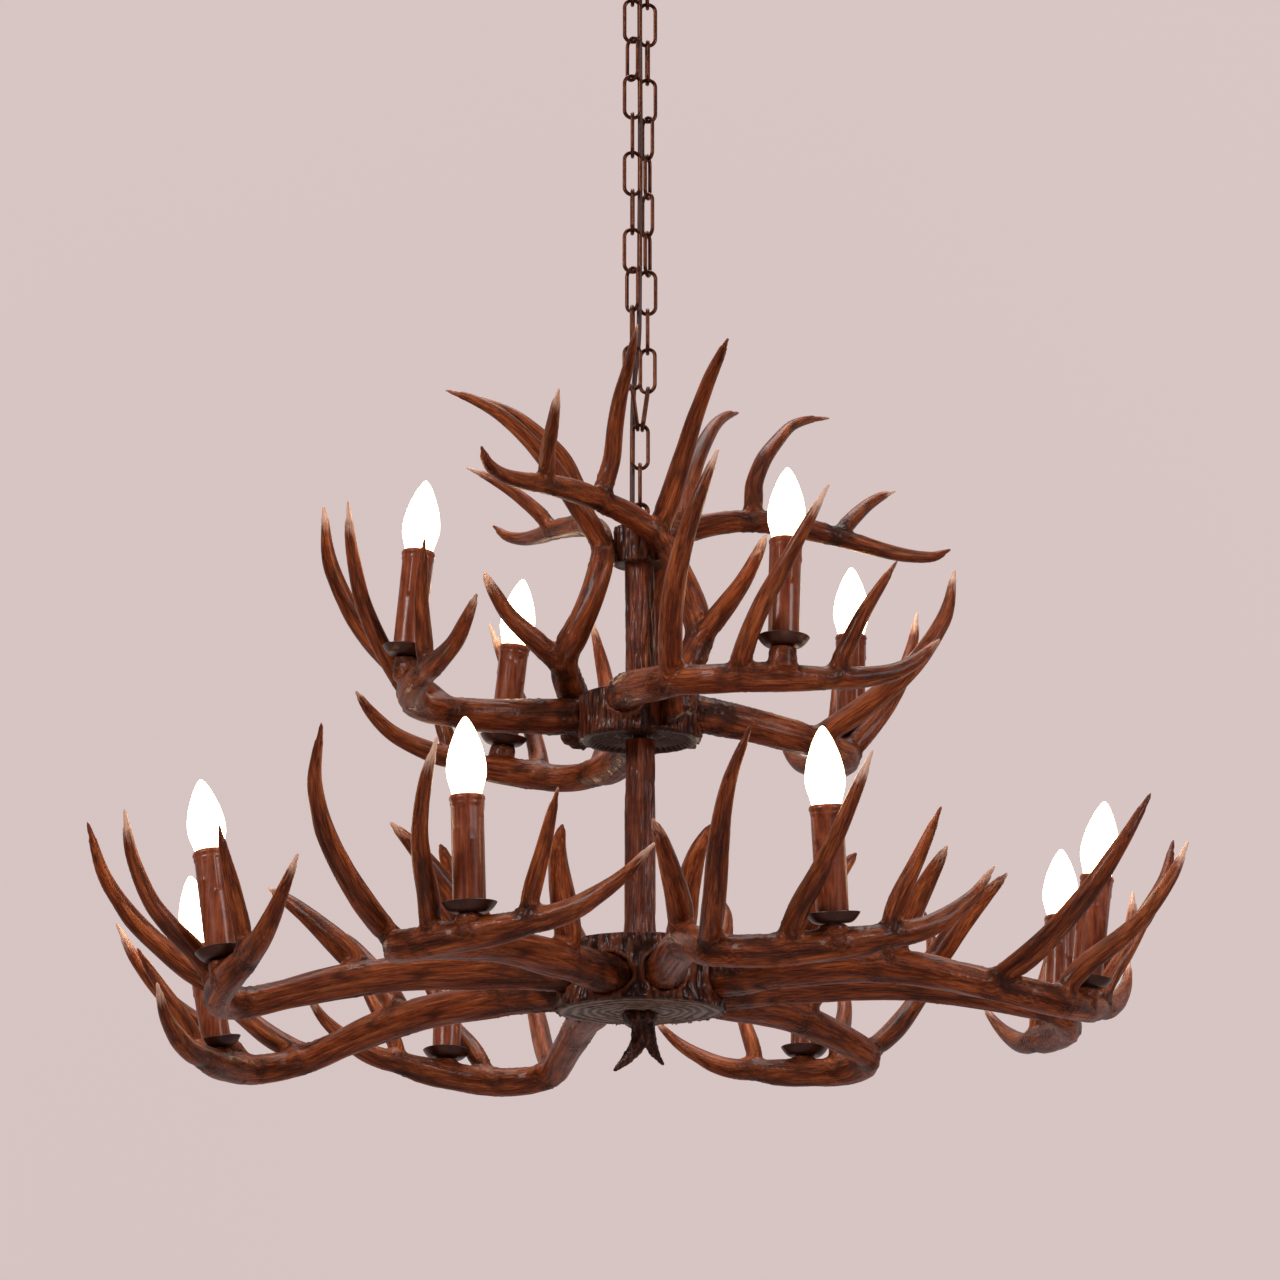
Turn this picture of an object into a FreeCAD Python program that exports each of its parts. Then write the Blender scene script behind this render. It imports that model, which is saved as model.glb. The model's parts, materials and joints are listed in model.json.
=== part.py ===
"""Antler chandelier on a chain: two tiers of cast antlers with twelve candle lamps and a crown."""
import FreeCAD, Part
import math
import os
from FreeCAD import Placement, Rotation, Vector

# ---- frame: origin on the ceiling, under it everything hangs; millimetres, +Z up, -Y to the viewer
pan_drop = 1108.0           # ceiling down to the level of the lower drip pans

# ---- suspension
bracket_length = 100.0
bracket_width = 22.0
bracket_thickness = 2.5
screw_spacing = 70.0        # the two ceiling screws
screw_hole_radius = 2.6
canopy_radius = 62.0
canopy_depth = 26.0
canopy_flat_radius = 36.0
canopy_wall = 1.5
cord_opening_radius = 9.5
cord_opening_y = 21.0
nipple_radius = 5.0
nipple_bore = 3.2
collar_radius = 9.0
collar_height = 7.0
loop_base_radius = 7.5
loop_base_height = 6.0
loop_radius = 15.0          # centre line of the ring
loop_wire = 2.5             # wire radius
link_length = 48.2
link_width = 19.6
link_wire = 1.9             # wire radius
link_slack = 0.3
bend_steps = 6              # facets along a link's bend
wire_sides = 6              # facets round the wire of a link
strand_links = 12
strand_x = 7.5              # each strand stands this far from the centre line
strand_y = 5.5
top_x = 6.0                 # the strands' top links on the loop
pair_x = 2.2                # the strands' last links meet this close on the joining link
left_turns = (90, 0, 85, 133, 183, 93, 3, 90, 185, 130, 185, 92)
right_turns = (90, 155, 90, 0, 73, 128, 73, 128, 183, 95, 3, 90)
ring_steps = 8              # facets along half a turn of the loop and the eye
eye_radius = 7.5
eye_wire = 2.25
eye_shank_radius = 3.0
eye_nut_radius = 6.0
eye_nut_height = 4.0
eye_neck = 6.2              # from the nut up to the eye's wire
cord_radius = 2.5
cord_entry_x = -7.6         # where the cord goes down into the stem's cap
cord_entry_y = 11.2
cord_entry_play = 5.6
cord_entry_depth = 12.0
wire_channel_radius = 2.5   # from the foot of that hole into the pipe

# ---- stem and hubs, heights above the pans' level
fit_gap = 0.3               # play between curved faces that meet
lower_hub_bottom = -24.0
lower_hub_top = 41.5
lower_hub_radius = 77.0
lower_hub_flare = 4.0
ring_count = 7
ring_depth = 1.2
upper_hub_bottom = 238.5
upper_hub_top = 285.0
upper_hub_radius = 58.0
crown_hub_bottom = 415.0
crown_hub_top = 452.0
crown_hub_radius = 26.0
stem_radius = 14.6
stem_foot_radius = 17.5
stem_foot_height = 26.0
bark_ribs = 13
bark_depth = 0.9
pipe_radius = 6.5
pipe_bore = 4.5
pipe_foot = 10.0            # how far the pipe reaches into the finial
eye_bore_depth = 13.0

# ---- lamps, along the candle's own axis from the underside of the drip pan
pan_rim_radius = 24.0
pan_foot_radius = 14.0
pan_height = 8.5
pan_wall = 1.3
pan_middle = 4.5            # the casting's lamp point lies at this height in the pan
boss_radius = 13.0
boss_depth = 24.0
holder_ring_radius = 13.0
holder_ring_top = 7.2
holder_lip_radius = 14.3
holder_lip_top = 9.5
holder_radius = 12.6
holder_top = 86.0
cap_radius = 6.9
cap_bottom = 61.2
sleeve_radius = 14.7
sleeve_bore = 13.2
sleeve_top = 103.0
sleeve_bead = 0.9
lamp_nipple_depth = 16.0
lamp_nipple_top = 11.5
bulb_radius = 17.5
bulb_top = 172.0

# ---- studs that carry the antlers
stud_radius = 4.0
stud_play = 0.15
stud_in_hub = 15.0
stud_in_antler = 24.0
crown_stud_in_hub = 14.0
crown_stud_in_antler = 13.0

# ---- the three castings: limbs as (across, out, up, radius) through the middle of each limb,
# ---- drawn as the front antler of its tier stands, "up" from the pans' level
lower_beam = ((28, -60, 5, 19), (30, -80, 5, 19), (37, -140, 6, 18), (44, -200, 5, 17),
              (50, -256, 2, 16.5), (58, -320, -10, 15), (70, -376, -24, 14.5), (98, -396, -30, 14.5),
              (136, -398, -32, 14.5), (179, -387, -29, 14.5), (222, -368, -23, 12.5),
              (264, -351, -13, 10), (303, -333, 12, 6.5), (328, -316, 43, 2.6))
lower_tines = (
    ((36, -132, 6, 12), (48, -146, 34, 13), (57, -165, 70, 11.5), (68, -180, 98, 8), (83, -189, 121, 2.8)),
    ((49, -262, 4, 12), (46, -284, 32, 12), (41, -308, 59, 10), (35, -332, 82, 7), (28, -354, 100, 2.6)),
    ((69, -376, -22, 11), (76, -426, 9, 11), (83, -473, 52, 9.5), (95, -502, 97, 7), (118, -516, 145, 2.6)),
    ((134, -396, -28, 10), (150, -415, 2, 10), (168, -440, 27, 9), (182, -457, 50, 8),
     (203, -471, 88, 5.8), (221, -475, 124, 2.4)),
    ((224, -368, -20, 9), (236, -372, 8, 8.5), (253, -378, 36, 7), (268, -384, 63, 5), (281, -388, 87, 2.3)),
)
lower_lamp = ((178, -392, -7), (180, -401, 92))
upper_beam = ((-7, -50, 266, 17), (-3, -78, 263, 17.5), (8, -115, 259, 17), (25, -152, 255, 16),
              (48, -186, 252, 14.5), (74, -204, 251, 14), (105, -211, 253, 14), (138, -210, 255, 13.5),
              (165, -204, 257, 12), (204, -189, 263, 10.5), (243, -171, 275, 8.5), (268, -160, 293, 6.5),
              (287, -151, 315, 2.6))
upper_tines = (
    ((38, -174, 253, 12), (35, -220, 288, 11.5), (36, -256, 320, 10.5), (41, -280, 352, 9.5),
     (52, -300, 392, 7.5), (69, -308, 443, 2.6)),
    ((98, -211, 255, 11), (106, -234, 285, 9.5), (118, -252, 315, 9), (132, -264, 342, 8),
     (153, -275, 384, 5.8), (172, -280, 424, 2.4)),
    ((187, -196, 262, 9), (198, -200, 290, 8.5), (211, -204, 321, 7), (227, -204, 350, 5), (241, -204, 375, 2.3)),
)
upper_lamp = ((139, -216, 287), (136, -212, 389))
crown_beam = ((55, -54, 329, 15), (50, -40, 357, 13.5), (41, -29, 384, 12.5), (30, -24, 411, 12),
              (16, -26, 435, 11.5), (-10, -46, 452, 11.5), (-38, -77, 462, 11.5), (-61, -113, 464, 11),
              (-82, -150, 462, 10), (-100, -180, 458, 8.5), (-116, -210, 457, 7), (-126, -238, 462, 5.5),
              (-130, -258, 475, 2.6))
crown_tines = (
    ((54, -56, 324, 11), (74, -68, 348, 10.5), (97, -83, 374, 8.5), (112, -90, 398, 6.5), (123, -95, 421, 2.8)),
    ((15, -28, 438, 10), (20, -33, 455, 11), (28, -41, 474, 10.5), (43, -58, 512, 9.5),
     (56, -77, 543, 8.2), (70, -100, 570, 6.8), (83, -125, 588, 5), (93, -151, 599, 2.4)),
    ((-37, -76, 463, 10), (-31, -78, 482, 9.5), (-25, -81, 502, 9), (-21, -92, 529, 8.3),
     (-14, -112, 553, 7.2), (-4, -137, 576, 5.8), (4, -168, 591, 4.2), (11, -200, 601, 2.4)),
    ((-81, -149, 463, 8.5), (-78, -168, 484, 8), (-71, -193, 506, 6.5), (-65, -216, 521, 4.6), (-59, -239, 532, 2.2)),
)
crown_root_radius = 16.0
crown_root_bottom = 250.0   # the crown antlers stand beside the upper hub from here up

# ---- how each casting is screwed on: place in the tier, then its small lean (degrees about the
# ---- across, out and up lines through its seat) and its small shift, both read off the photo
lower_seat = Vector(30, -80, 0)
lower_places = {
    "front_right": (0, (1.5, -4, -1), (-6, 3, 0)),
    "front_left": (-1, (-2, -0.5, 0.5), (0, 2, -3)),
    "left_front": (-2, (3, -5.5, 2.5), (1, 5, 6)),
    "left_back": (-3, (1, 7, 5), (2, -1, -2)),
    "back_left": (-4, (0.5, -2, 4), (0, 1, -1)),
    "back_right": (3, (-1.5, 0.5, -3), (-1.5, -1, 0)),
    "right_back": (2, (-3, 4, -5.5), (-1, -6, -1)),
    "right_front": (1, (2, 1.5, -1), (5, -6, 1)),
}
upper_seat = Vector(20, -60, 262)
upper_places = {
    "front": (0, (1, 3.5, 0), (-8.5, 0, 8)),
    "left": (-1, (-3, 1.5, 1.5), (1, -5.5, 0.5)),
    "back": (2, (-1, -5, -2.5), (9, -1, -9)),
    "right": (1, (3, -0.5, 1), (-0.5, 5.5, 1.5)),
}
crown_seat = Vector(30, -50, 340)
crown_places = {            # the last number is the root's own direction from the stem
    "front": (0, (2.5, -0.5, -5), (2.5, -2.5, -1), 302),
    "left": (-1, (-4.5, 13, -3.5), (-8, -4.5, -7), 147),
    "back": (1, (4.5, -9, 12), (-0.5, 0.5, 15), 58),
}

limb_sides = 8              # facets round a limb
lamp_sides = 12             # facets round the pieces of a lamp, of which there are sixty
hub_sides = 24
limb_fullness = 1.03        # a ring's corners stand this far out, so that it keeps the round limb's size

# ---- finial: a cup with two short prongs
finial_radius = 17.0
finial_cup_height = 13.0
finial_prongs = (((3, 0, -30, 12), (2, 0, -42, 10), (-1, -1, -52, 8.2), (-7, -3, -62, 6.6),
                  (-15, -4, -71, 4.8), (-25, -5, -80, 2)),
                 ((4, 0, -34, 10), (7, 1, -44, 8), (10, 3, -53, 6.2), (14, 4, -62, 4.6), (23, 6, -73, 1.8)))

up = Vector(0, 0, 1)


def at(height):
    """Ceiling-based height of a height above the pans' level."""
    return height - pan_drop


def export(name, shape):
    shape.exportStep("parts/%s.step" % name)


def rod(radius, low, high, x=0.0, y=0.0):
    return Part.makeCylinder(radius, high - low, Vector(x, y, low))


def turned(profile, sides):
    """Facetted body of revolution about Z over a closed outline of (radius, height) corners."""
    faces = []
    for (first, low), (second, high) in zip(profile, profile[1:] + profile[:1]):
        for i in range(sides if first or second else 0):
            start = 2 * math.pi * i / sides
            end = 2 * math.pi * (i + 1) / sides
            corners = [Vector(r * math.cos(a), r * math.sin(a), z)
                       for r, a, z in ((first, start, low), (first, end, low), (second, end, high), (second, start, high))]
            if not first:
                corners = corners[1:]
            elif not second:
                corners = corners[:3]
            faces.append(Part.Face(Part.makePolygon(corners + corners[:1])))
    solid = Part.makeSolid(Part.makeShell(faces))
    if solid.Volume < 0:
        solid.reverse()
    return solid


def spun(profile):
    """Round body of revolution about Z of (radius, height) corners."""
    corners = [Vector(r, 0, z) for r, z in profile]
    wire = Part.makePolygon(corners + corners[:1])
    return Part.Face(wire).revolve(Vector(), up, 360)


def along(base, direction):
    """Placement that takes +Z at the origin to a direction at a base point."""
    return Placement(base, Rotation(up, direction))


def bar(radius, start, end):
    line = end - start
    return Part.makeCylinder(radius, line.Length, start, line)


def ring_corners(radius, sides, place):
    """Corners of a regular ring about Z, set in its place."""
    corners = []
    for i in range(sides):
        angle = 2 * math.pi * i / sides
        corners.append(place.multVec(Vector(radius * math.cos(angle), radius * math.sin(angle), 0)))
    return corners


def skin(rings):
    """Closed solid of flat facets over rings of corners, with an end face on the first and the last."""
    faces = [Part.Face(Part.makePolygon(ring + ring[:1])) for ring in (rings[0], rings[-1])]
    for low, high in zip(rings, rings[1:]):
        for i in range(len(low)):
            k = (i + 1) % len(low)
            faces.append(Part.Face(Part.makePolygon([low[i], low[k], high[k], low[i]])))
            faces.append(Part.Face(Part.makePolygon([low[i], high[k], high[i], low[i]])))
    solid = Part.makeSolid(Part.makeShell(faces))
    if solid.Volume < 0:
        solid.reverse()
    return solid


def limb(points):
    """Tapering limb along a smooth line through (across, out, up, radius) points, with a blunt tip."""
    centres = [Vector(x, y, at(z)) for x, y, z, r in points]
    curve = Part.BSplineCurve()
    curve.interpolate(centres)
    knots = [curve.parameter(c) for c in centres]
    tip_radius = points[-1][3]
    tip_step = tip_radius * (knots[-1] - knots[0]) / curve.length()
    stations = [(knot, point[3]) for knot, point in zip(knots, points)][:-1]
    stations += [(knots[-1] - 0.9 * tip_step, tip_radius), (knots[-1], 0.4 * tip_radius)]
    turn = Rotation()
    heading = up
    rings = []
    for knot, radius in stations:
        tangent = curve.tangent(knot)[0]
        turn = Rotation(heading, tangent).multiply(turn)
        heading = tangent
        rings.append(ring_corners(limb_fullness * radius, limb_sides, Placement(curve.value(knot), turn)))
    return skin(rings)


def seated(step, place, seat):
    """Placement of a casting from its drawn place to its own place in the tier."""
    number, lean, shift = place[:3]
    axis = Vector(*lean)
    seat = Vector(seat.x, seat.y, at(seat.z))
    own = Placement(seat + Vector(*shift), Rotation(axis, axis.Length)).multiply(Placement(-seat, Rotation()))
    return Placement(Vector(), Rotation(up, step * number)).multiply(own)


def lamp_place(lamp):
    """Placement of a lamp's parts on the drawn casting, from the underside of its pan."""
    middle = Vector(lamp[0][0], lamp[0][1], at(lamp[0][2]))
    rim = Vector(lamp[1][0], lamp[1][1], at(lamp[1][2]))
    line = (rim - middle).normalize()
    return along(middle - line * pan_middle, line)


def casting(beam, tines, lamp):
    """One antler as cast: beam, tines and, where it carries a lamp, the boss with its nipple bore."""
    body = limb(beam).fuse([limb(tine) for tine in tines])
    if lamp:
        boss = turned(((0, 0), (boss_radius, 0), (boss_radius + 2, -boss_depth), (0, -boss_depth)), lamp_sides)
        bore_radius = nipple_radius + stud_play
        bore = turned(((0, 1), (bore_radius, 1), (bore_radius, -lamp_nipple_depth), (0, -lamp_nipple_depth)), lamp_sides)
        for piece in (boss, bore):
            piece.Placement = lamp_place(lamp)
        body = body.fuse(boss).cut(bore)
    return body


def root_line(beam):
    """Inner end and outward direction of a beam's root."""
    start = Vector(beam[0][0], beam[0][1], at(beam[0][2]))
    second = Vector(beam[1][0], beam[1][1], at(beam[1][2]))
    return start, (second - start).normalize()


def moved(shape, placement):
    copy = shape.copy()
    copy.Placement = placement.multiply(shape.Placement)
    return copy


def bark_outline(radius):
    """Closed ribbed outline of a bark-textured stem."""
    count = 2 * bark_ribs
    points = []
    for i in range(count):
        angle = math.radians(360.0 * i / count + 3.0 * math.sin(2.3 * i))
        reach = radius - bark_depth * (i % 2) * (1 + 0.35 * math.sin(1.9 * i))
        points.append(Vector(reach * math.cos(angle), reach * math.sin(angle), 0))
    return Part.makePolygon(points + points[:1])


def stem(low, high, foot):
    """Ribbed tube; with a foot it widens towards its lower end."""
    rings = []
    levels = [(low, stem_radius), (high, stem_radius)]
    if foot:
        levels = [(low, stem_foot_radius), (low + stem_foot_height / 2, (stem_radius + stem_foot_radius) / 2 - 0.8),
                  (low + stem_foot_height, stem_radius), (high, stem_radius)]
    for level, radius in levels:
        ring = bark_outline(radius)
        ring.translate(Vector(0, 0, at(level)))
        rings.append(ring)
    body = Part.makeLoft(rings, True, True)
    return body.cut(rod(pipe_radius + fit_gap, at(low) - 1, at(high) + 1))


def link_shape():
    """Stadium-shaped welded link in the XZ plane, its lower bend's wire centre at the origin."""
    middle = (link_length - 2 * link_wire) / 2
    spots = [(Vector(-link_bend, 0, middle), 180.0)]
    for i in range(bend_steps + 1):
        angle = 180.0 + 180.0 * i / bend_steps
        reach = Vector(math.cos(math.radians(angle)), 0, math.sin(math.radians(angle)))
        spots.append((reach * link_bend + Vector(0, 0, link_bend), angle))
    spots.append((Vector(link_bend, 0, middle), 360.0))
    rings = [ring_corners(link_wire, wire_sides, Placement(spot, Rotation(Vector(0, -1, 0), angle)))
             for spot, angle in spots]
    lower = skin(rings)
    upper = lower.copy()
    upper.rotate(Vector(0, 0, middle), Vector(0, 1, 0), 180)
    return lower.fuse(upper).removeSplitter()


def link_between(low, high, turn):
    """Link from its lower wire centre towards a higher point, turned about its own length."""
    place = along(low, high - low).multiply(Placement(Vector(), Rotation(up, turn)))
    return moved(link_shape(), place)


def ring_shape(radius, wire, centre):
    """Closed ring of facetted wire in the XZ plane, made as two half turns."""
    halves = []
    for start in (0.0, 180.0):
        rings = []
        for i in range(ring_steps + 1):
            angle = start + 180.0 * i / ring_steps
            spot = Vector(math.cos(math.radians(angle)), 0, math.sin(math.radians(angle))) * radius + centre
            rings.append(ring_corners(wire, limb_sides, Placement(spot, Rotation(Vector(0, -1, 0), angle))))
        halves.append(skin(rings))
    return halves[0].fuse(halves[1]).removeSplitter()


# heights that follow from one another along the chain, from the eye bolt up
wire_step = link_length - 4 * link_wire - link_slack    # from one link to the next, along the chain
link_span = link_length - 2 * link_wire                 # between a link's two wire centres
eye_centre = at(crown_hub_top) + eye_nut_height + eye_neck + eye_radius
swing_height = eye_centre + eye_radius - eye_wire - link_wire - link_slack
joining_low = Vector(0, 0, swing_height)
joining_high = Vector(0, 0, swing_height + wire_step)
link_bend = link_width / 2 - link_wire                  # a link's bend, to the wire's centre
pair_height = joining_high.z + wire_step - (link_bend - math.sqrt(link_bend ** 2 - pair_x ** 2)) - 0.2


def strand_points(side):
    """Lower wire centre of each link of a strand, and the upper wire centre of its last."""
    axis = Vector(side * strand_x, side * strand_y, 0)
    start = Vector(side * pair_x, 0, pair_height)
    slant = math.sqrt(link_span ** 2 - (strand_x - pair_x) ** 2 - strand_y ** 2)
    first = start.z + slant - 2 * link_wire - link_slack
    points = [start] + [axis + Vector(0, 0, first + i * wire_step) for i in range(strand_links - 1)]
    top_slant = math.sqrt(link_span ** 2 - strand_y ** 2 - (strand_x - top_x) ** 2)
    points.append(Vector(side * top_x, 0, points[-1].z + top_slant))
    return points


chain_top = strand_points(1)[-1].z
loop_room = loop_radius - loop_wire - link_wire - link_slack
loop_centre = chain_top + math.sqrt(loop_room ** 2 - top_x ** 2)
pivot_height = loop_centre - math.sqrt(loop_radius ** 2 - top_x ** 2)


def chain_strand(side, turns):
    points = strand_points(side)
    links = []
    for i, turn in enumerate(turns):
        aim = points[i + 1]
        links.append(link_between(points[i], aim, turn))
    return Part.makeCompound(links)


def cord():
    """Round supply cord: straight runs joined by tangent arcs, from the canopy to the stem's top."""
    mouth = at(crown_hub_top)
    route = [Vector(0.0, cord_opening_y, 4.0 - canopy_depth), Vector(0.0, cord_opening_y, -58.0),
             Vector(-0.3, 0.0, -101.0), Vector(-0.2, 0.0, -158.0), Vector(0.3, 0.2, -228.0),
             Vector(0.2, 0.0, -298.0), Vector(-0.4, -0.1, -368.0), Vector(-0.6, 0.0, at(684)),
             Vector(-1.0, 0.2, at(641)), Vector(-6.6, 9.4, at(599)), Vector(cord_entry_x, cord_entry_y, at(545)),
             Vector(cord_entry_x, cord_entry_y, mouth - cord_entry_depth + 4.0)]
    pieces = []
    last = route[0]
    radii = []
    for before, corner, after in zip(route, route[1:], route[2:]):
        back = before - corner
        ahead = after - corner
        half_turn = (math.pi - back.getAngle(ahead)) / 2
        reach = 0.45 * min(back.Length, ahead.Length)
        radius = reach / math.tan(half_turn)
        radii.append(radius)
        start = corner + back.normalize() * reach
        end = corner + ahead.normalize() * reach
        middle_line = (start + end) * 0.5 - corner
        sag = radius / math.cos(half_turn) - radius
        pieces.append(Part.LineSegment(last, start).toShape())
        pieces.append(Part.Arc(start, corner + middle_line.normalize() * sag, end).toShape())
        last = end
    pieces.append(Part.LineSegment(last, route[-1]).toShape())
    path = Part.Wire(pieces)
    section = Part.Wire(Part.makeCircle(cord_radius, route[0], route[1] - route[0]))
    tube = path.makePipeShell([section], True, False)
    print("cord radii", [round(r) for r in radii], "length", round(path.Length),
          "volume ratio", round(tube.Volume / (math.pi * cord_radius ** 2 * path.Length), 4))
    return tube


def canopy():
    """Spun cup, open towards the ceiling, with holes for the nipple and the cord."""
    outer = ((0, -canopy_depth), (canopy_flat_radius, -canopy_depth), (canopy_radius, 0))
    inner_floor = canopy_wall - canopy_depth

    def cup(radius, flat, floor):
        shoulder = 0.5 * (radius + flat) + 6.5
        return spun(((0, floor), (flat, floor), (shoulder, 0.62 * floor), (radius, 0), (0, 0)))

    shell = cup(outer[2][0], outer[1][0], outer[0][1])
    hollow = cup(canopy_radius - canopy_wall, canopy_flat_radius - 0.5 * canopy_wall, inner_floor)
    holes = [rod(nipple_radius + fit_gap, -canopy_depth - 1, inner_floor + 1),
             rod(cord_opening_radius, -canopy_depth - 1, inner_floor + 1, 0, cord_opening_y)]
    return shell.cut([hollow] + holes)


def bracket():
    plate = Part.makeBox(bracket_length, bracket_width, bracket_thickness,
                         Vector(-bracket_length / 2, -bracket_width / 2, -bracket_thickness))
    holes = [rod(screw_hole_radius, -bracket_thickness - 1, 1, x) for x in (-screw_spacing / 2, screw_spacing / 2)]
    centre = rod(nipple_radius + stud_play, -bracket_thickness - 1, 1)
    return plate.cut(holes + [centre])


def lower_hub(placements):
    """Turned hub with a slight flare, annual rings cut in its underside and a socket per antler."""
    low = at(lower_hub_bottom)
    high = at(lower_hub_top)
    foot = lower_hub_radius + lower_hub_flare
    profile = [(pipe_radius + fit_gap, high), (lower_hub_radius - 3, high), (lower_hub_radius, high - 3),
               (lower_hub_radius, low + 20), (foot, low + 5), (foot - 1.5, low)]
    pitch = (foot - 1.5 - finial_radius - 8) / ring_count
    for i in range(ring_count):
        edge = foot - 1.5 - i * pitch
        profile += [(edge - 0.45 * pitch, low), (edge - 0.6 * pitch, low + ring_depth),
                    (edge - 0.85 * pitch, low + ring_depth), (edge - pitch, low)]
    profile.append((pipe_radius + fit_gap, low))
    return turned(tuple(profile), hub_sides).cut(sockets(lower_beam, placements))


def sockets(beam, placements):
    """Cutters for the seats of a tier's roots in its hub and for their studs."""
    root = limb([(x, y, z, r + fit_gap) for x, y, z, r in beam[:6]])
    start, line = root_line(beam)
    bore = bar(stud_radius + stud_play, start - line * (stud_in_hub + stud_play), start + line * 3)
    return [moved(cutter, placement) for placement in placements for cutter in (root, bore)]


def upper_hub(placements, crown_studs):
    low = at(upper_hub_bottom)
    high = at(upper_hub_top)
    body = turned(((pipe_radius + fit_gap, low + 2), (stem_radius + 5, low + 2), (upper_hub_radius - 6, low),
                   (upper_hub_radius - 0.5, low + 2), (upper_hub_radius, low + 9), (upper_hub_radius, high - 2),
                   (upper_hub_radius - 3, high), (pipe_radius + fit_gap, high)), hub_sides)
    return body.cut(sockets(upper_beam, placements) + crown_studs)


def wire_channel():
    high = at(crown_hub_top)
    return bar(wire_channel_radius, Vector(cord_entry_x, cord_entry_y, high - 9), Vector(0, 0, high - 26))


def crown_hub():
    low = at(crown_hub_bottom)
    high = at(crown_hub_top)
    body = rod(crown_hub_radius, low, high)
    pipe_top = high - eye_bore_depth
    eye_bore = rod(eye_shank_radius + stud_play, pipe_top - 1, high + 1)
    cord_bore = rod(cord_radius + cord_entry_play, high - cord_entry_depth, high + 1, cord_entry_x, cord_entry_y)
    return body.cut([rod(pipe_radius + fit_gap, low - 1, pipe_top), eye_bore, cord_bore, wire_channel()])


def finial():
    low = at(lower_hub_bottom)
    cup = turned(((0, low), (finial_radius, low), (finial_radius - 1, low - 0.6 * finial_cup_height),
                  (finial_radius - 6, low - finial_cup_height), (0, low - finial_cup_height)), hub_sides)
    body = cup.fuse([limb(prong) for prong in finial_prongs])
    return body.cut(rod(pipe_radius + fit_gap, low - pipe_foot, low + 1))


def lamp_parts():
    """The pieces of one lamp, standing on the origin at the underside of its pan."""
    nipple_hole = nipple_radius + stud_play
    floor = pan_foot_radius
    rim = pan_rim_radius
    waist = 0.4 * floor + 0.6 * rim
    pan = turned(((nipple_hole, 0), (floor, 0), (waist, 0.3 * pan_height), (rim, pan_height),
                  (rim - pan_wall, pan_height), (waist - 0.8 * pan_wall, 0.3 * pan_height + 0.8 * pan_wall),
                  (floor, pan_wall), (nipple_hole, pan_wall)), lamp_sides)
    holder = turned(((0, lamp_nipple_top + 0.5), (nipple_hole, lamp_nipple_top + 0.5), (nipple_hole, pan_wall),
                     (holder_ring_radius, pan_wall), (holder_ring_radius, holder_ring_top),
                     (holder_lip_radius, holder_ring_top), (holder_lip_radius, holder_lip_top),
                     (holder_radius, holder_lip_top), (holder_radius, holder_top),
                     (cap_radius + fit_gap, holder_top), (cap_radius + fit_gap, cap_bottom - 0.2),
                     (0, cap_bottom - 0.2)), lamp_sides)
    sleeve = turned(((sleeve_bore, holder_lip_top), (sleeve_radius, holder_lip_top), (sleeve_radius, sleeve_top - 7),
                     (sleeve_radius + sleeve_bead, sleeve_top - 5), (sleeve_radius + sleeve_bead, sleeve_top - 2),
                     (sleeve_radius - 0.3, sleeve_top), (sleeve_bore, sleeve_top)), lamp_sides)
    nipple = turned(((nipple_bore, -lamp_nipple_depth), (nipple_radius, -lamp_nipple_depth),
                     (nipple_radius, lamp_nipple_top), (nipple_bore, lamp_nipple_top)), lamp_sides)
    return pan, holder, sleeve, nipple


def bulb():
    """Candle bulb with its screw cap, in its lampholder."""
    neck = holder_top + 1.0
    rim = sleeve_top
    return turned(((0, cap_bottom), (cap_radius - 2, cap_bottom), (cap_radius, cap_bottom + 4), (cap_radius, neck),
                   (9.0, neck), (14.0, rim + 5), (bulb_radius - 0.4, rim + 16), (bulb_radius - 0.5, rim + 30),
                   (bulb_radius - 4.6, rim + 48), (bulb_radius - 11.5, rim + 62), (0, bulb_top)), lamp_sides)


def tier(prefix, beam, tines, lamp, step, places, seat):
    """Antlers of one lamp tier with their lamps; returns where the castings stand."""
    cast = casting(beam, tines, lamp)
    start, line = root_line(beam)
    stud_bore = bar(stud_radius + stud_play, start - line * 3, start + line * (stud_in_antler + stud_play))
    cast = cast.cut(stud_bore)
    stud = bar(stud_radius, start - line * stud_in_hub, start + line * stud_in_antler)
    lamp_at = lamp_place(lamp)
    parts = lamp_parts()
    groups = {"drip_pans": [], "lampholders": [], "candle_sleeves": [], "lamp_nipples": []}
    studs = []
    placements = []
    for name, place in places.items():
        placement = seated(step, place, seat)
        export("%s_antler_%s" % (prefix, name), moved(cast, placement))
        export("%s_bulb_%s" % (prefix, name), moved(bulb(), placement.multiply(lamp_at)))
        axis = placement.Rotation.multVec(lamp_at.Rotation.multVec(up))
        print(prefix, name, "lamp axis", [round(v, 4) for v in axis])
        for group, part in zip(groups, parts):
            groups[group].append(moved(part, placement.multiply(lamp_at)))
        studs.append(moved(stud, placement))
        placements.append(placement)
    for group, solids in groups.items():
        export("%s_%s" % (prefix, group), Part.makeCompound(solids))
    export("%s_antler_studs" % prefix, Part.makeCompound(studs))
    return placements


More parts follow.
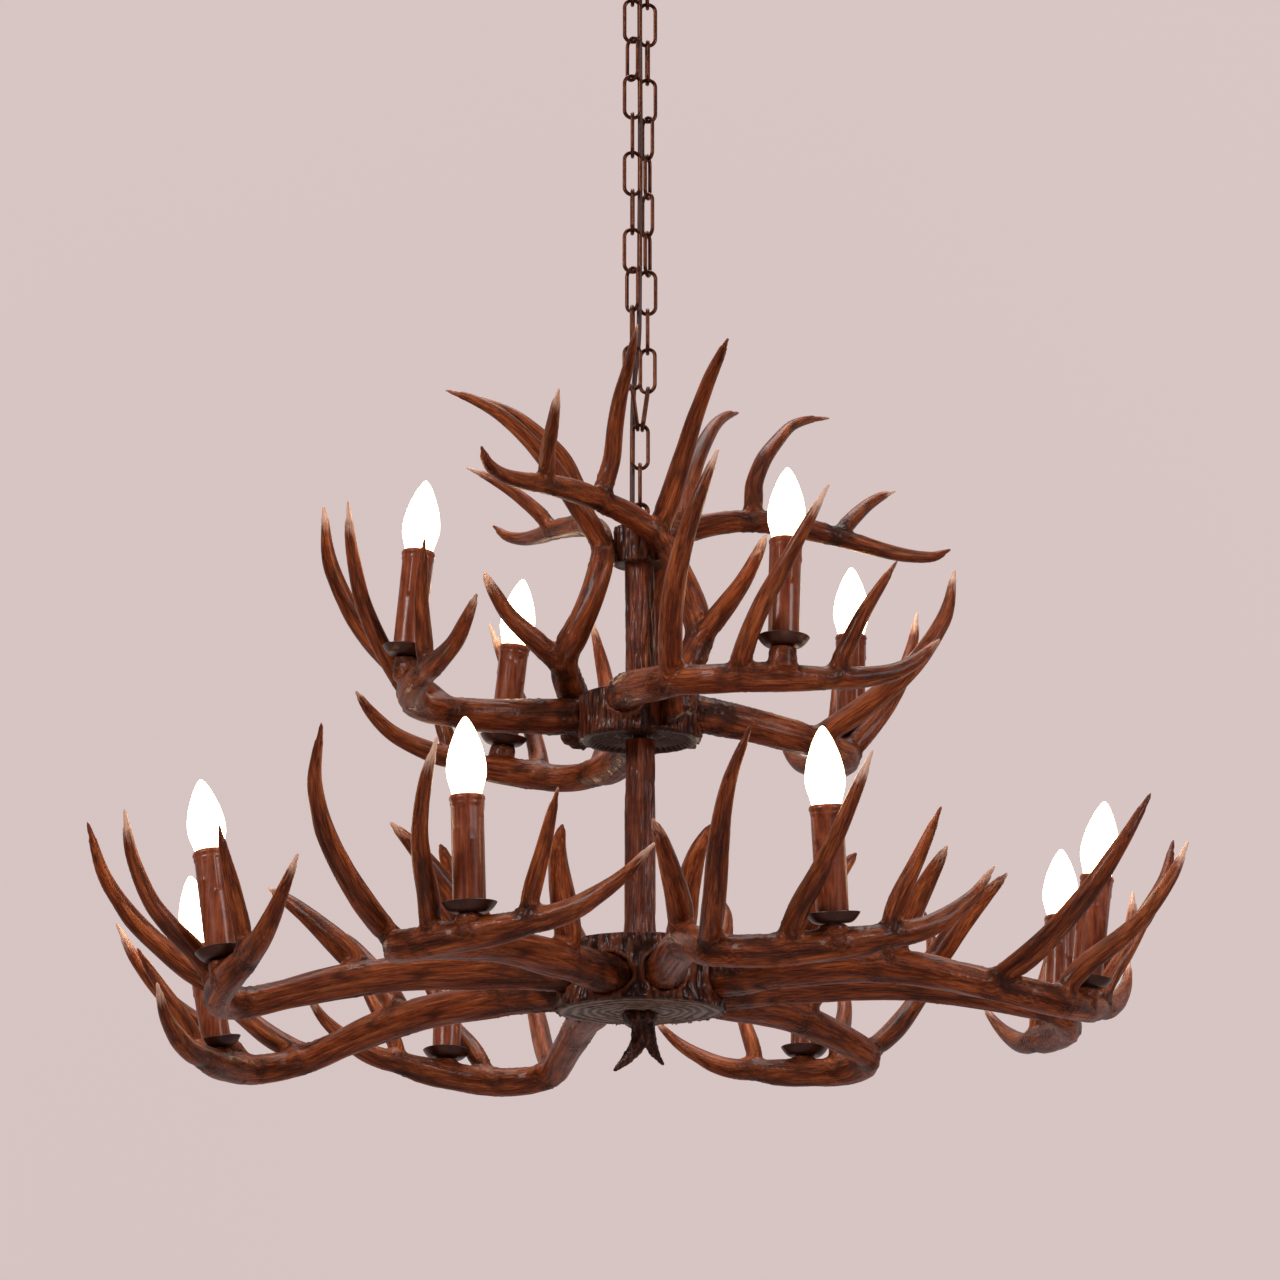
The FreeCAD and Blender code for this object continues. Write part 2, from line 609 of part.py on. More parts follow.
def crown():
    """Three crown antlers; each root is bent to stand against the upper hub's side."""
    stand_off = upper_hub_radius + crown_root_radius + fit_gap
    studs = []
    cutters = []
    for name, place in crown_places.items():
        placement = seated(120, place, crown_seat)
        back = placement.inverse()
        angle = math.radians(place[3])
        outward = Vector(math.cos(angle), math.sin(angle), 0)
        root = []
        for height, radius in ((crown_root_bottom, crown_root_radius), (crown_root_bottom + 34, crown_root_radius)):
            spot = back.multVec(outward * stand_off + Vector(0, 0, at(height)))
            root.append((spot.x, spot.y, spot.z + pan_drop, radius))
        body = moved(casting(tuple(root) + crown_beam, crown_tines, None), placement)
        body = body.cut([rod(upper_hub_radius + fit_gap, at(upper_hub_bottom), at(upper_hub_top) + fit_gap),
                         rod(crown_hub_radius + fit_gap, at(crown_hub_bottom) - fit_gap, at(crown_hub_top))])
        height = at((crown_root_bottom + upper_hub_top) / 2 - 6)
        seat = outward * upper_hub_radius + Vector(0, 0, height)
        inner = seat - outward * crown_stud_in_hub
        outer = seat + outward * crown_stud_in_antler
        bore = bar(stud_radius + stud_play, inner - outward * stud_play, outer + outward * stud_play)
        cutters.append(bore)
        export("crown_antler_%s" % name, body.cut(bore))
        studs.append(bar(stud_radius, inner, outer))
    export("crown_antler_studs", Part.makeCompound(studs))
    return cutters


def main():
    os.makedirs("parts", exist_ok=True)
    export("ceiling_bracket", bracket())
    nipple_end = -canopy_depth - collar_height - 3
    nipple = rod(nipple_radius, nipple_end, -0.5).cut(rod(nipple_bore, nipple_end - 1, 1))
    export("ceiling_nipple", nipple)
    export("canopy", canopy())
    collar = rod(collar_radius, -canopy_depth - collar_height, -canopy_depth)
    export("collar_nut", collar.cut(rod(nipple_radius + stud_play, -canopy_depth - collar_height - 1, 0)))
    base_top = -canopy_depth - collar_height
    base = rod(loop_base_radius, loop_centre + loop_radius - 1.0, base_top)
    loop = base.fuse(ring_shape(loop_radius, loop_wire, Vector(0, 0, loop_centre)))
    export("chain_loop", loop.cut(rod(nipple_radius + stud_play, nipple_end - 0.2, 0)))
    export("chain_left", chain_strand(-1, left_turns))
    export("chain_right", chain_strand(1, right_turns))
    joining = [link_between(joining_low, joining_high, 90), link_between(joining_high, joining_high + up, 0)]
    export("joining_links", Part.makeCompound(joining))
    export("supply_cord", cord())
    eye_top = at(crown_hub_top)
    eye = rod(eye_nut_radius, eye_top, eye_top + eye_nut_height)
    eye = eye.fuse([rod(eye_shank_radius, eye_top - eye_bore_depth + 0.5, eye_centre - eye_radius),
                    ring_shape(eye_radius, eye_wire, Vector(0, 0, eye_centre))])
    export("eye_bolt", eye)

    lower_placements = tier("lower", lower_beam, lower_tines, lower_lamp, 45, lower_places, lower_seat)
    upper_placements = tier("upper", upper_beam, upper_tines, upper_lamp, 90, upper_places, upper_seat)
    crown_studs = crown()
    export("lower_hub", lower_hub(lower_placements))
    export("upper_hub", upper_hub(upper_placements, crown_studs))
    export("crown_hub", crown_hub())
    export("lower_stem", stem(lower_hub_top, upper_hub_bottom + 2, True))
    export("upper_stem", stem(upper_hub_top, crown_hub_bottom, False))
    pipe_low = at(lower_hub_bottom) - pipe_foot + 0.3
    pipe_high = at(crown_hub_top) - eye_bore_depth - 0.3
    pipe = rod(pipe_radius, pipe_low, pipe_high)
    export("stem_pipe", pipe.cut([rod(pipe_bore, pipe_low - 1, pipe_high + 1), wire_channel()]))
    export("finial", finial())
    print("swing height", round(swing_height, 3), "pivot height", round(pivot_height, 3),
          "loop centre", round(loop_centre, 3), "chain top", round(chain_top, 3))


main()
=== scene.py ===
import json
import math

import bmesh
import bpy
import numpy as np
from mathutils import Matrix, Vector, noise

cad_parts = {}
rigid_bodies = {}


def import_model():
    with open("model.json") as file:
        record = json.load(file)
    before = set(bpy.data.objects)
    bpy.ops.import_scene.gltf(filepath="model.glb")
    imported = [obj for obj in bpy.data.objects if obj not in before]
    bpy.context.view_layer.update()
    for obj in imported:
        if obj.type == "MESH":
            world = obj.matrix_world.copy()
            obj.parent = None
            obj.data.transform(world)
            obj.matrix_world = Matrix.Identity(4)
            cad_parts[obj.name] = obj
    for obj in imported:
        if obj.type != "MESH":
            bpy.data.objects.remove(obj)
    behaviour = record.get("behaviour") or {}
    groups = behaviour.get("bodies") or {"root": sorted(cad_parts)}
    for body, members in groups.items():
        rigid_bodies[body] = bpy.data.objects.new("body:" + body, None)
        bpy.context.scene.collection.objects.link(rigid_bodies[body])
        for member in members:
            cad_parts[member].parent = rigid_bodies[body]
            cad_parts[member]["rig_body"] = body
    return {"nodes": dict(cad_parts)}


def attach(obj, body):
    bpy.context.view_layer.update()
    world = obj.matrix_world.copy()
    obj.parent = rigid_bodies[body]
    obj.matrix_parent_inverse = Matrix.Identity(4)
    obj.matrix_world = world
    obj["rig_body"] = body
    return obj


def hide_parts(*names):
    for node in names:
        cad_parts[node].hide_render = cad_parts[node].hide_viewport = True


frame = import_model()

scene = bpy.context.scene
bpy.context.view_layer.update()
panDrop = 1.108          # from the ceiling down to the lower drip pans, in metres


def at(height):
    return height / 1000 - panDrop      # a height over the lower pans in millimetres, in the scene


# ---- camera, floor and backdrop

camera = {"place": (0, -4.246, -1.826), "pitch": 14.0, "lens": 127.18}

eye = bpy.data.objects.new("photoCamera", bpy.data.cameras.new("photoCamera"))
scene.collection.objects.link(eye)
eye.location = camera["place"]
eye.rotation_euler = (math.radians(90 + camera["pitch"]), 0, 0)
eye.data.lens = camera["lens"]
eye.data.sensor_width = 36
eye.data.clip_end = 60
scene.camera = eye
scene.view_settings.view_transform = "Standard"


# ---- node trees: one builder for finishes and for geometry

class Socket:                # a socket in a tree; sums written on it add Math nodes
    def __init__(self, bench, socket):
        self.bench = bench
        self.socket = socket

    def maths(self, operation, first, second=0.0):
        return self.bench.node("ShaderNodeMath", {"operation": operation}, {0: first, 1: second})

    def __add__(self, other):
        return self.maths("ADD", self, other)

    def __sub__(self, other):
        return self.maths("SUBTRACT", self, other)

    def __rsub__(self, other):
        return self.maths("SUBTRACT", other, self)

    def __mul__(self, other):
        return self.maths("MULTIPLY", self, other)

    def __truediv__(self, other):
        return self.maths("DIVIDE", self, other)

    def __rtruediv__(self, other):
        return self.maths("DIVIDE", other, self)

    __radd__ = __add__
    __rmul__ = __mul__


class Bench:                 # builds one node tree
    def __init__(self, tree):
        self.tree = tree

    def node(self, kind, settings, values, output=0):
        made = self.tree.nodes.new(kind)
        for key, value in settings.items():
            if key == "stops":
                while len(made.color_ramp.elements) < len(value):
                    made.color_ramp.elements.new(1.0)
                for stop, (place, tone) in zip(made.color_ramp.elements, value):
                    stop.position = place
                    stop.color = tone
            else:
                setattr(made, key, value)
        for key, value in values.items():
            if isinstance(value, Socket):
                self.tree.links.new(value.socket, made.inputs[key])
            else:
                made.inputs[key].default_value = value
        return Socket(self, made.outputs[output]) if made.outputs else made

    def mix(self, share, first, second):
        return self.node("ShaderNodeMix", {"data_type": "RGBA"}, {0: share, 6: first, 7: second}, 2)

    def scaled(self, vector, scale):
        return self.node("ShaderNodeVectorMath", {"operation": "MULTIPLY"}, {0: vector, 1: scale})

    def cloud(self, vector, scale, detail=4.0, rough=0.55):
        return self.node("ShaderNodeTexNoise", {}, {"Vector": vector, "Scale": scale, "Detail": detail,
                                                    "Roughness": rough}, "Fac")

    def ramp(self, value, *stops):
        return self.node("ShaderNodeValToRGB", {"stops": stops}, {0: value})

    def step(self, value, low, high, start=0.0, end=1.0):
        return self.node("ShaderNodeMapRange", {"interpolation_type": "SMOOTHSTEP"},
                         {0: value, 1: low, 2: high, 3: start, 4: end})

    def parts(self, vector):
        split = self.tree.nodes.new("ShaderNodeSeparateXYZ")
        self.tree.links.new(vector.socket, split.inputs[0])
        return [Socket(self, socket) for socket in split.outputs]


class Finish(Bench):         # one material
    def __init__(self, name):
        self.material = bpy.data.materials.new(name)
        self.material.use_nodes = True
        super().__init__(self.material.node_tree)
        self.tree.nodes.clear()

    def here(self):
        return self.node("ShaderNodeTexCoord", {}, {}, "Object")

    def noted(self, name):
        return self.node("ShaderNodeAttribute", {"attribute_name": name}, {}, "Vector")

    def surface(self, values, relief=None, depth=0.001, strength=1.0):
        if relief:
            values["Normal"] = self.node("ShaderNodeBump", {}, {"Height": relief, "Distance": depth,
                                                                "Strength": strength})
        body = self.node("ShaderNodeBsdfPrincipled", {}, values)
        self.node("ShaderNodeOutputMaterial", {}, {"Surface": body})
        return self.material


def tone(red, green, blue):  # a colour as a paint card gives it, 0 to 255
    return tuple(((c / 255 + 0.055) / 1.055) ** 2.4 if c > 10 else c / 3295 for c in (red, green, blue)) + (1.0,)


# ---- finishes

def antlerFinish():          # brown stained resin: grain along the limbs, pearled bases, pale tips, painted shade in the flute grooves
    own = Finish("antlerStain")
    grain = own.noted("grain")
    tip, rough, grooveShade = own.parts(own.noted("worn"))
    fibres = own.cloud(own.scaled(grain, (46, 820, 820)), 1.0, 5, 0.68)
    bands = own.cloud(own.scaled(grain, (12, 130, 130)), 1.0, 3)
    mottle = own.cloud(own.here(), 46, 4)
    pearls = own.node("ShaderNodeTexVoronoi", {"feature": "SMOOTH_F1"},
                      {"Vector": own.here(), "Scale": 260, "Smoothness": 0.5}, "Distance")
    stainAndShade = own.ramp(fibres * 0.58 + bands * 0.42,
                     (0.33, tone(36, 11, 3)), (0.44, tone(84, 34, 12)), (0.53, tone(122, 57, 25)),
                     (0.66, tone(166, 92, 48)))
    stainAndShade = own.mix(own.step(rough * (0.55 + mottle), 0.35, 0.95, 0.0, 0.78), stainAndShade, tone(32, 9, 3))
    # painted shade: the bottoms of the flute grooves darkened
    stainAndShade = own.mix(own.step(grooveShade, 0.15, 0.9, 0.0, 0.8), stainAndShade, tone(26, 7, 2))
    pale = own.step(tip + (fibres - 0.5) * 0.5 + (mottle - 0.5) * 0.4, 0.38, 0.72)
    stainAndShade = own.mix(pale, stainAndShade, tone(214, 172, 148))
    gloss = 0.33 + 0.2 * mottle + rough * 0.08
    relief = fibres * 0.5 + (1 - pearls * 1.6) * rough * own.step(mottle, 0.35, 0.6) * 1.3
    return own.surface({"Base Color": stainAndShade, "Roughness": gloss, "Coat Weight": 0.1, "Coat Roughness": 0.1,
                        "Specular IOR Level": 0.12}, relief, 0.0011, 0.8)


def hubFinish():             # dark bark under varnish, greyish growth rings underneath, with painted shade in the grooves and lighter crests
    own = Finish("hubBark")
    reliefShade, under, rim = own.parts(own.noted("worn"))
    mottle = own.cloud(own.here(), 55, 5)
    fine = own.cloud(own.scaled(own.here(), (420, 420, 60)), 1.0, 4, 0.6)
    # painted shade: darker where the carved relief is low, lighter on its crests
    wall = own.ramp(reliefShade * 0.6 + fine * 0.4, (0.15, tone(20, 6, 2)), (0.45, tone(46, 17, 8)),
                    (0.72, tone(90, 44, 26)))
    rings = own.ramp(reliefShade * 0.72 + mottle * 0.28, (0.2, tone(28, 14, 9)), (0.55, tone(74, 54, 42)),
                     (0.85, tone(122, 102, 88)))
    colour = own.mix(under, wall, rings)
    return own.surface({"Base Color": colour, "Roughness": 0.27 + 0.2 * mottle + 0.22 * under, "Coat Weight": 0.12,
                        "Coat Roughness": 0.1, "Specular IOR Level": 0.12}, fine * 0.6 + mottle * 0.6, 0.0012, 0.8)


def barkFinish():            # the stems: upright bark ribs, reddish under varnish
    own = Finish("stemBark")
    here = own.here()
    ribs = own.cloud(own.scaled(here, (260, 260, 14)), 1.0, 5, 0.6)
    mottle = own.cloud(here, 70, 4)
    colour = own.ramp(ribs * 0.7 + mottle * 0.3, (0.32, tone(34, 10, 4)), (0.5, tone(88, 36, 18)),
                      (0.68, tone(142, 76, 46)))
    return own.surface({"Base Color": colour, "Roughness": 0.3 + 0.22 * mottle, "Coat Weight": 0.1,
                        "Coat Roughness": 0.1, "Specular IOR Level": 0.14}, ribs + mottle * 0.4, 0.0014, 0.8)


def sleeveFinish():          # candle sleeve: glossy brown wax look with faint upright streaks
    own = Finish("candleSleeve")
    here = own.here()
    streaks = own.cloud(own.scaled(here, (300, 300, 9)), 1.0, 4, 0.6)
    mottle = own.cloud(here, 90, 3)
    colour = own.ramp(streaks * 0.75 + mottle * 0.25, (0.33, tone(82, 32, 16)), (0.5, tone(122, 58, 34)),
                      (0.68, tone(152, 86, 56)))
    return own.surface({"Base Color": colour, "Roughness": 0.26 + 0.12 * mottle, "Coat Weight": 0.16,
                        "Coat Roughness": 0.08, "Specular IOR Level": 0.16},
                       streaks * 0.5 + mottle * 0.3, 0.0005, 0.5)


def metalFinish(name, deep, light, gloss, metallic=0.85):      # painted or plated metal with handling wear
    own = Finish(name)
    here = own.here()
    mottle = own.cloud(here, 120, 5)
    scuffs = own.cloud(here, 900, 3)
    colour = own.ramp(mottle * 0.7 + scuffs * 0.3, (0.35, deep), (0.65, light))
    return own.surface({"Base Color": colour, "Roughness": gloss + 0.18 * mottle, "Metallic": metallic},
                       scuffs * 0.4 + mottle, 0.0003, 0.35)


def glowFinish():            # frosted bulb, lit
    own = Finish("litBulb")
    haze = own.cloud(own.here(), 30, 2)
    shade = own.mix(own.step(haze, 0.3, 0.7, 0.0, 0.25), (1.0, 0.72, 0.42, 1), (1.0, 0.64, 0.34, 1))
    return own.surface({"Base Color": tone(255, 240, 222), "Roughness": 0.25 + 0.05 * haze,
                        "Emission Color": shade, "Emission Strength": 12.0})


def cordFinish():            # cloth-look plastic sheath, dark brown
    own = Finish("cordSheath")
    braid = own.cloud(own.scaled(own.here(), (1400, 1400, 900)), 1.0, 2)
    colour = own.ramp(braid, (0.35, tone(52, 26, 18)), (0.65, tone(88, 52, 40)))
    return own.surface({"Base Color": colour, "Roughness": 0.55 + 0.1 * braid}, braid, 0.0003, 0.5)


finish = {
    "antler": antlerFinish(),
    "hub": hubFinish(),
    "bark": barkFinish(),
    "sleeve": sleeveFinish(),
    "brown": metalFinish("brownMetal", tone(56, 24, 12), tone(100, 52, 30), 0.26),
    "pan": metalFinish("panLacquer", tone(38, 13, 6), tone(68, 31, 16), 0.28, 0.4),
    "steel": metalFinish("plainSteel", tone(150, 150, 152), tone(205, 205, 208), 0.22, 1.0),
    "chrome": metalFinish("holderChrome", tone(196, 196, 200), tone(235, 235, 238), 0.08, 1.0),
    "glow": glowFinish(),
    "cord": cordFinish(),
}
print("finishes made")


# ---- pieces: how a mesh becomes a piece

def grid(rows):                               # faces between equal closed rings of points
    count = len(rows[0])
    faces = []
    for i in range(0, (len(rows) - 1) * count, count):
        for j in range(count):
            k = (j + 1) % count
            faces.append((i + j, i + k, i + count + k, i + count + j))
    return [tuple(p) for row in rows for p in row], faces


def tidy(name, points, faces, crease=35.0):   # a mesh with its doubles merged and its faces outwards
    mesh = bpy.data.meshes.new(name)
    mesh.from_pydata(points, [], faces)
    shell = bmesh.new()
    shell.from_mesh(mesh)
    bmesh.ops.remove_doubles(shell, verts=shell.verts, dist=1e-6)
    bmesh.ops.dissolve_degenerate(shell, edges=shell.edges, dist=1e-7)
    bmesh.ops.recalc_face_normals(shell, faces=shell.faces)
    shell.to_mesh(mesh)
    shell.free()
    mesh.shade_smooth()
    mesh.set_sharp_from_angle(angle=math.radians(crease))
    return mesh


def turned(name, profile, segments=64, crease=35.0):      # (radius, height) points in millimetres, about Z
    rows = []
    for r, z in profile:
        rows.append([(r / 1000 * math.cos(math.tau * i / segments), r / 1000 * math.sin(math.tau * i / segments),
                      z / 1000) for i in range(segments)])
    return tidy(name, *grid(rows), crease)


def ringOfWire(name, radius, wire, centre, around=64, section=20):
    rows = []
    for i in range(around + 1):
        a = math.tau * i / around
        rows.append([(centre[0] + (radius + wire * math.cos(math.tau * j / section)) * math.cos(a),
                      centre[1] + wire * math.sin(math.tau * j / section),
                      centre[2] + (radius + wire * math.cos(math.tau * j / section)) * math.sin(a))
                     for j in range(section)])
    return tidy(name, *grid(rows))


def place(name, mesh, body, look, slot, nodes):           # a finished piece on its CAD body
    thing = bpy.data.objects.new(name, mesh)
    scene.collection.objects.link(thing)
    mesh.materials.clear()
    mesh.materials.append(finish[look])
    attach(thing, body)
    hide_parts(*nodes)


def joined(name, meshes):
    shell = bmesh.new()
    for mesh in meshes:
        shell.from_mesh(mesh)
    whole = bpy.data.meshes.new(name)
    shell.to_mesh(whole)
    shell.free()
    whole.shade_smooth()
    whole.set_sharp_from_angle(angle=math.radians(35))
    return whole


def evaluated(thing):        # the plain mesh that a helper's modifiers make; the helper goes
    bpy.context.view_layer.update()
    made = bpy.data.meshes.new_from_object(thing.evaluated_get(bpy.context.evaluated_depsgraph_get()))
    bpy.data.objects.remove(thing)
    return made


def clay(node, voxel, undo=Matrix()):         # a CAD node's mesh as an even skin that can be modelled
    mesh = frame["nodes"][node].data.copy()
    mesh.transform(undo)
    shell = bmesh.new()
    shell.from_mesh(mesh)
    bmesh.ops.remove_doubles(shell, verts=shell.verts, dist=1e-5)
    shell.to_mesh(mesh)
    shell.free()
    helper = bpy.data.objects.new("clay", mesh)
    scene.collection.objects.link(helper)
    remesh = helper.modifiers.new("skin", "REMESH")
    remesh.mode = "VOXEL"
    remesh.voxel_size = voxel
    skin = evaluated(helper)
    skin.shade_smooth()
    return skin


def readPoints(mesh):
    points = np.zeros(len(mesh.vertices) * 3)
    mesh.vertices.foreach_get("co", points)
    normals = np.zeros(len(mesh.vertices) * 3)
    mesh.vertex_normals.foreach_get("vector", normals)
    return points.reshape(-1, 3), normals.reshape(-1, 3)


def writePoints(mesh, points):
    mesh.vertices.foreach_set("co", points.astype(np.float32).ravel())
    mesh.update()


def note(mesh, name, values):                 # keeps three numbers a point for its finish
    kept = mesh.attributes.new(name, "FLOAT_VECTOR", "POINT")
    kept.data.foreach_set("vector", values.astype(np.float32).ravel())


def neighbours(mesh):
    edges = np.zeros(len(mesh.edges) * 2, np.int64)
    mesh.edges.foreach_get("vertices", edges)
    edges = edges.reshape(-1, 2)
    count = np.bincount(edges.ravel(), minlength=len(mesh.vertices)).clip(1)
    return edges, count


def spread(values, edges, count):             # each point's mean over its neighbours
    total = np.bincount(edges[:, 0], values[edges[:, 1]], len(count))
    return (total + np.bincount(edges[:, 1], values[edges[:, 0]], len(count))) / count


relaxRate = 0.5          # the share of the way to its neighbours' mean that a point goes in one round


def relax(points, normals, edges, count, rounds, hollowOnly=False):       # evens a skin, or only fills its hollows
    for _ in range(rounds):
        pull = np.stack([spread(points[:, k], edges, count) for k in range(3)], 1) - points
        if hollowOnly:
            lift = (pull * normals).sum(1)
            pull = normals * np.maximum(lift, 0)[:, None]
        points = points + relaxRate * pull
    return points


def ripple(points, offset=0.0):
    shift = Vector((offset, offset * 1.7, -offset))
    return np.array([noise.noise(Vector(p) + shift) for p in points])


# ---- the antlers: three castings, drawn in millimetres as (across, out, up, radius) through their limbs

lowerCasting = {
    "beam": ((28, -60, 5, 19), (30, -80, 5, 19), (37, -140, 6, 18), (44, -200, 5, 17),
             (50, -256, 2, 16.5), (58, -320, -10, 15), (70, -376, -24, 14.5), (98, -396, -30, 14.5),
             (136, -398, -32, 14.5), (179, -387, -29, 14.5), (222, -368, -23, 12.5),
             (264, -351, -13, 10), (303, -333, 12, 6.5), (328, -316, 43, 2.6)),
    "tines": (
        ((36, -132, 6, 12), (48, -146, 34, 13), (57, -165, 70, 11.5), (68, -180, 98, 8), (83, -189, 121, 2.8)),
        ((49, -262, 4, 12), (46, -284, 32, 12), (41, -308, 59, 10), (35, -332, 82, 7), (28, -354, 100, 2.6)),
        ((69, -376, -22, 11), (76, -426, 9, 11), (83, -473, 52, 9.5), (95, -502, 97, 7), (118, -516, 145, 2.6)),
        ((134, -396, -28, 10), (150, -415, 2, 10), (168, -440, 27, 9), (182, -457, 50, 8),
         (203, -471, 88, 5.8), (221, -475, 124, 2.4)),
        ((224, -368, -20, 9), (236, -372, 8, 8.5), (253, -378, 36, 7), (268, -384, 63, 5), (281, -388, 87, 2.3)),
    ),
    "lamp": ((178, -392, -7), (180, -401, 92)),
    "seat": (30, -80, 0),
    "step": 45,
    "paleTips": (0.75, 0.35, 0.6, 0.3, 0.9, 0.45),
    "places": {
        "front_right": (0, (1.5, -4, -1), (-6, 3, 0)),
        "front_left": (-1, (-2, -0.5, 0.5), (0, 2, -3)),
        "left_front": (-2, (3, -5.5, 2.5), (1, 5, 6)),
        "left_back": (-3, (1, 7, 5), (2, -1, -2)),
        "back_left": (-4, (0.5, -2, 4), (0, 1, -1)),
        "back_right": (3, (-1.5, 0.5, -3), (-1.5, -1, 0)),
        "right_back": (2, (-3, 4, -5.5), (-1, -6, -1)),
        "right_front": (1, (2, 1.5, -1), (5, -6, 1)),
    },
}
upperCasting = {
    "beam": ((-7, -50, 266, 17), (-3, -78, 263, 17.5), (8, -115, 259, 17), (25, -152, 255, 16),
             (48, -186, 252, 14.5), (74, -204, 251, 14), (105, -211, 253, 14), (138, -210, 255, 13.5),
             (165, -204, 257, 12), (204, -189, 263, 10.5), (243, -171, 275, 8.5), (268, -160, 293, 6.5),
             (287, -151, 315, 2.6)),
    "tines": (
        ((38, -174, 253, 12), (35, -220, 288, 11.5), (36, -256, 320, 10.5), (41, -280, 352, 9.5),
         (52, -300, 392, 7.5), (69, -308, 443, 2.6)),
        ((98, -211, 255, 11), (106, -234, 285, 9.5), (118, -252, 315, 9), (132, -264, 342, 8),
         (153, -275, 384, 5.8), (172, -280, 424, 2.4)),
        ((187, -196, 262, 9), (198, -200, 290, 8.5), (211, -204, 321, 7), (227, -204, 350, 5),
         (241, -204, 375, 2.3)),
    ),
    "lamp": ((139, -216, 287), (136, -212, 389)),
    "seat": (20, -60, 262),
    "step": 90,
    "paleTips": (0.6, 0.8, 0.95, 0.5),
    "places": {
        "front": (0, (1, 3.5, 0), (-8.5, 0, 8)),
        "left": (-1, (-3, 1.5, 1.5), (1, -5.5, 0.5)),
        "back": (2, (-1, -5, -2.5), (9, -1, -9)),
        "right": (1, (3, -0.5, 1), (-0.5, 5.5, 1.5)),
    },
}
crownCasting = {
    "beam": ((55, -54, 329, 15), (50, -40, 357, 13.5), (41, -29, 384, 12.5), (30, -24, 411, 12),
             (16, -26, 435, 11.5), (-10, -46, 452, 11.5), (-38, -77, 462, 11.5), (-61, -113, 464, 11),
             (-82, -150, 462, 10), (-100, -180, 458, 8.5), (-116, -210, 457, 7), (-126, -238, 462, 5.5),
             (-130, -258, 475, 2.6)),
    "tines": (
        ((54, -56, 324, 11), (74, -68, 348, 10.5), (97, -83, 374, 8.5), (112, -90, 398, 6.5),
         (123, -95, 421, 2.8)),
        ((15, -28, 438, 10), (20, -33, 455, 11), (28, -41, 474, 10.5), (43, -58, 512, 9.5),
         (56, -77, 543, 8.2), (70, -100, 570, 6.8), (83, -125, 588, 5), (93, -151, 599, 2.4)),
        ((-37, -76, 463, 10), (-31, -78, 482, 9.5), (-25, -81, 502, 9), (-21, -92, 529, 8.3),
         (-14, -112, 553, 7.2), (-4, -137, 576, 5.8), (4, -168, 591, 4.2), (11, -200, 601, 2.4)),
        ((-81, -149, 463, 8.5), (-78, -168, 484, 8), (-71, -193, 506, 6.5), (-65, -216, 521, 4.6),
         (-59, -239, 532, 2.2)),
    ),
    "lamp": None,
    "seat": (30, -50, 340),
    "step": 120,
    "paleTips": (0.4, 0.7, 0.5, 0.6, 0.85),
    "rootReach": 58 + 16 + 0.3,               # from the middle of the upper hub to the root's middle
    "places": {
        "front": (0, (2.5, -0.5, -5), (2.5, -2.5, -1), 302),
        "left": (-1, (-4.5, 13, -3.5), (-8, -4.5, -7), 147),
        "back": (1, (4.5, -9, 12), (-0.5, 0.5, 15), 58),
    },
}
sculpt = {
    "voxel": 0.0018,
    "webRounds": 46,          # how far the forks fill in
    "flutes": 0.95,           # depth of the long flutes, millimetres
    "swell": 1.2,             # slow unevenness of a limb, millimetres
    "pearls": 1.1,            # height of the pearling near bases and forks, millimetres
    "tipLength": 62.0,
    "roughReach": {"fork": 26.0, "root": 88.0, "pad": 24.0},      # how far the pearling runs from each
    "padDrop": 12.0,          # the lamp pad's middle under its drip pan
    "fluteRun": (95, 8.5),    # length and width of each kind of unevenness
    "fineRun": (42, 3.6),
    "swellRun": (48, 26),
    "pearlSize": 3.4,
    "patchSize": 16,
    "alone": (0.85, 0.13),    # a limb's share from which a point counts as its own
    "roundUp": 1.8,           # the most that a point moves to make its limb round
}


def standing(casting, number, lean, shift):   # from the drawn casting to its own place, in metres
    seat = Vector((casting["seat"][0], casting["seat"][1], casting["seat"][2] - panDrop * 1000))
    axis = Vector(lean)
    own = Matrix.Translation(seat + Vector(shift)) @ Matrix.Rotation(math.radians(axis.length), 4, axis)
    own = own @ Matrix.Translation(-seat)
    inMillimetres = Matrix.Rotation(math.radians(casting["step"] * number), 4, "Z") @ own
    return Matrix.Scale(0.001, 4) @ inMillimetres @ Matrix.Scale(1000, 4)


def between(a, b, c, d, t):                   # a smooth curve's place on its way from b to c
    return 0.5 * (2 * b + (c - a) * t + (2 * a - 5 * b + 4 * c - d) * t * t
                  + (3 * b - a - 3 * c + d) * t ** 3)


def through(points, fineness=14):             # smooth run of centres and radii through a limb's points
    p = np.array(points, float)
    p[:, 2] -= panDrop * 1000
    p = np.vstack([2 * p[0] - p[1], p, 2 * p[-1] - p[-2]])
    out = []
    for i in range(1, len(p) - 2):
        out += [between(*p[i - 1:i + 3], t) for t in np.linspace(0, 1, fineness, endpoint=False)]
    return np.array(out + [p[-2]])


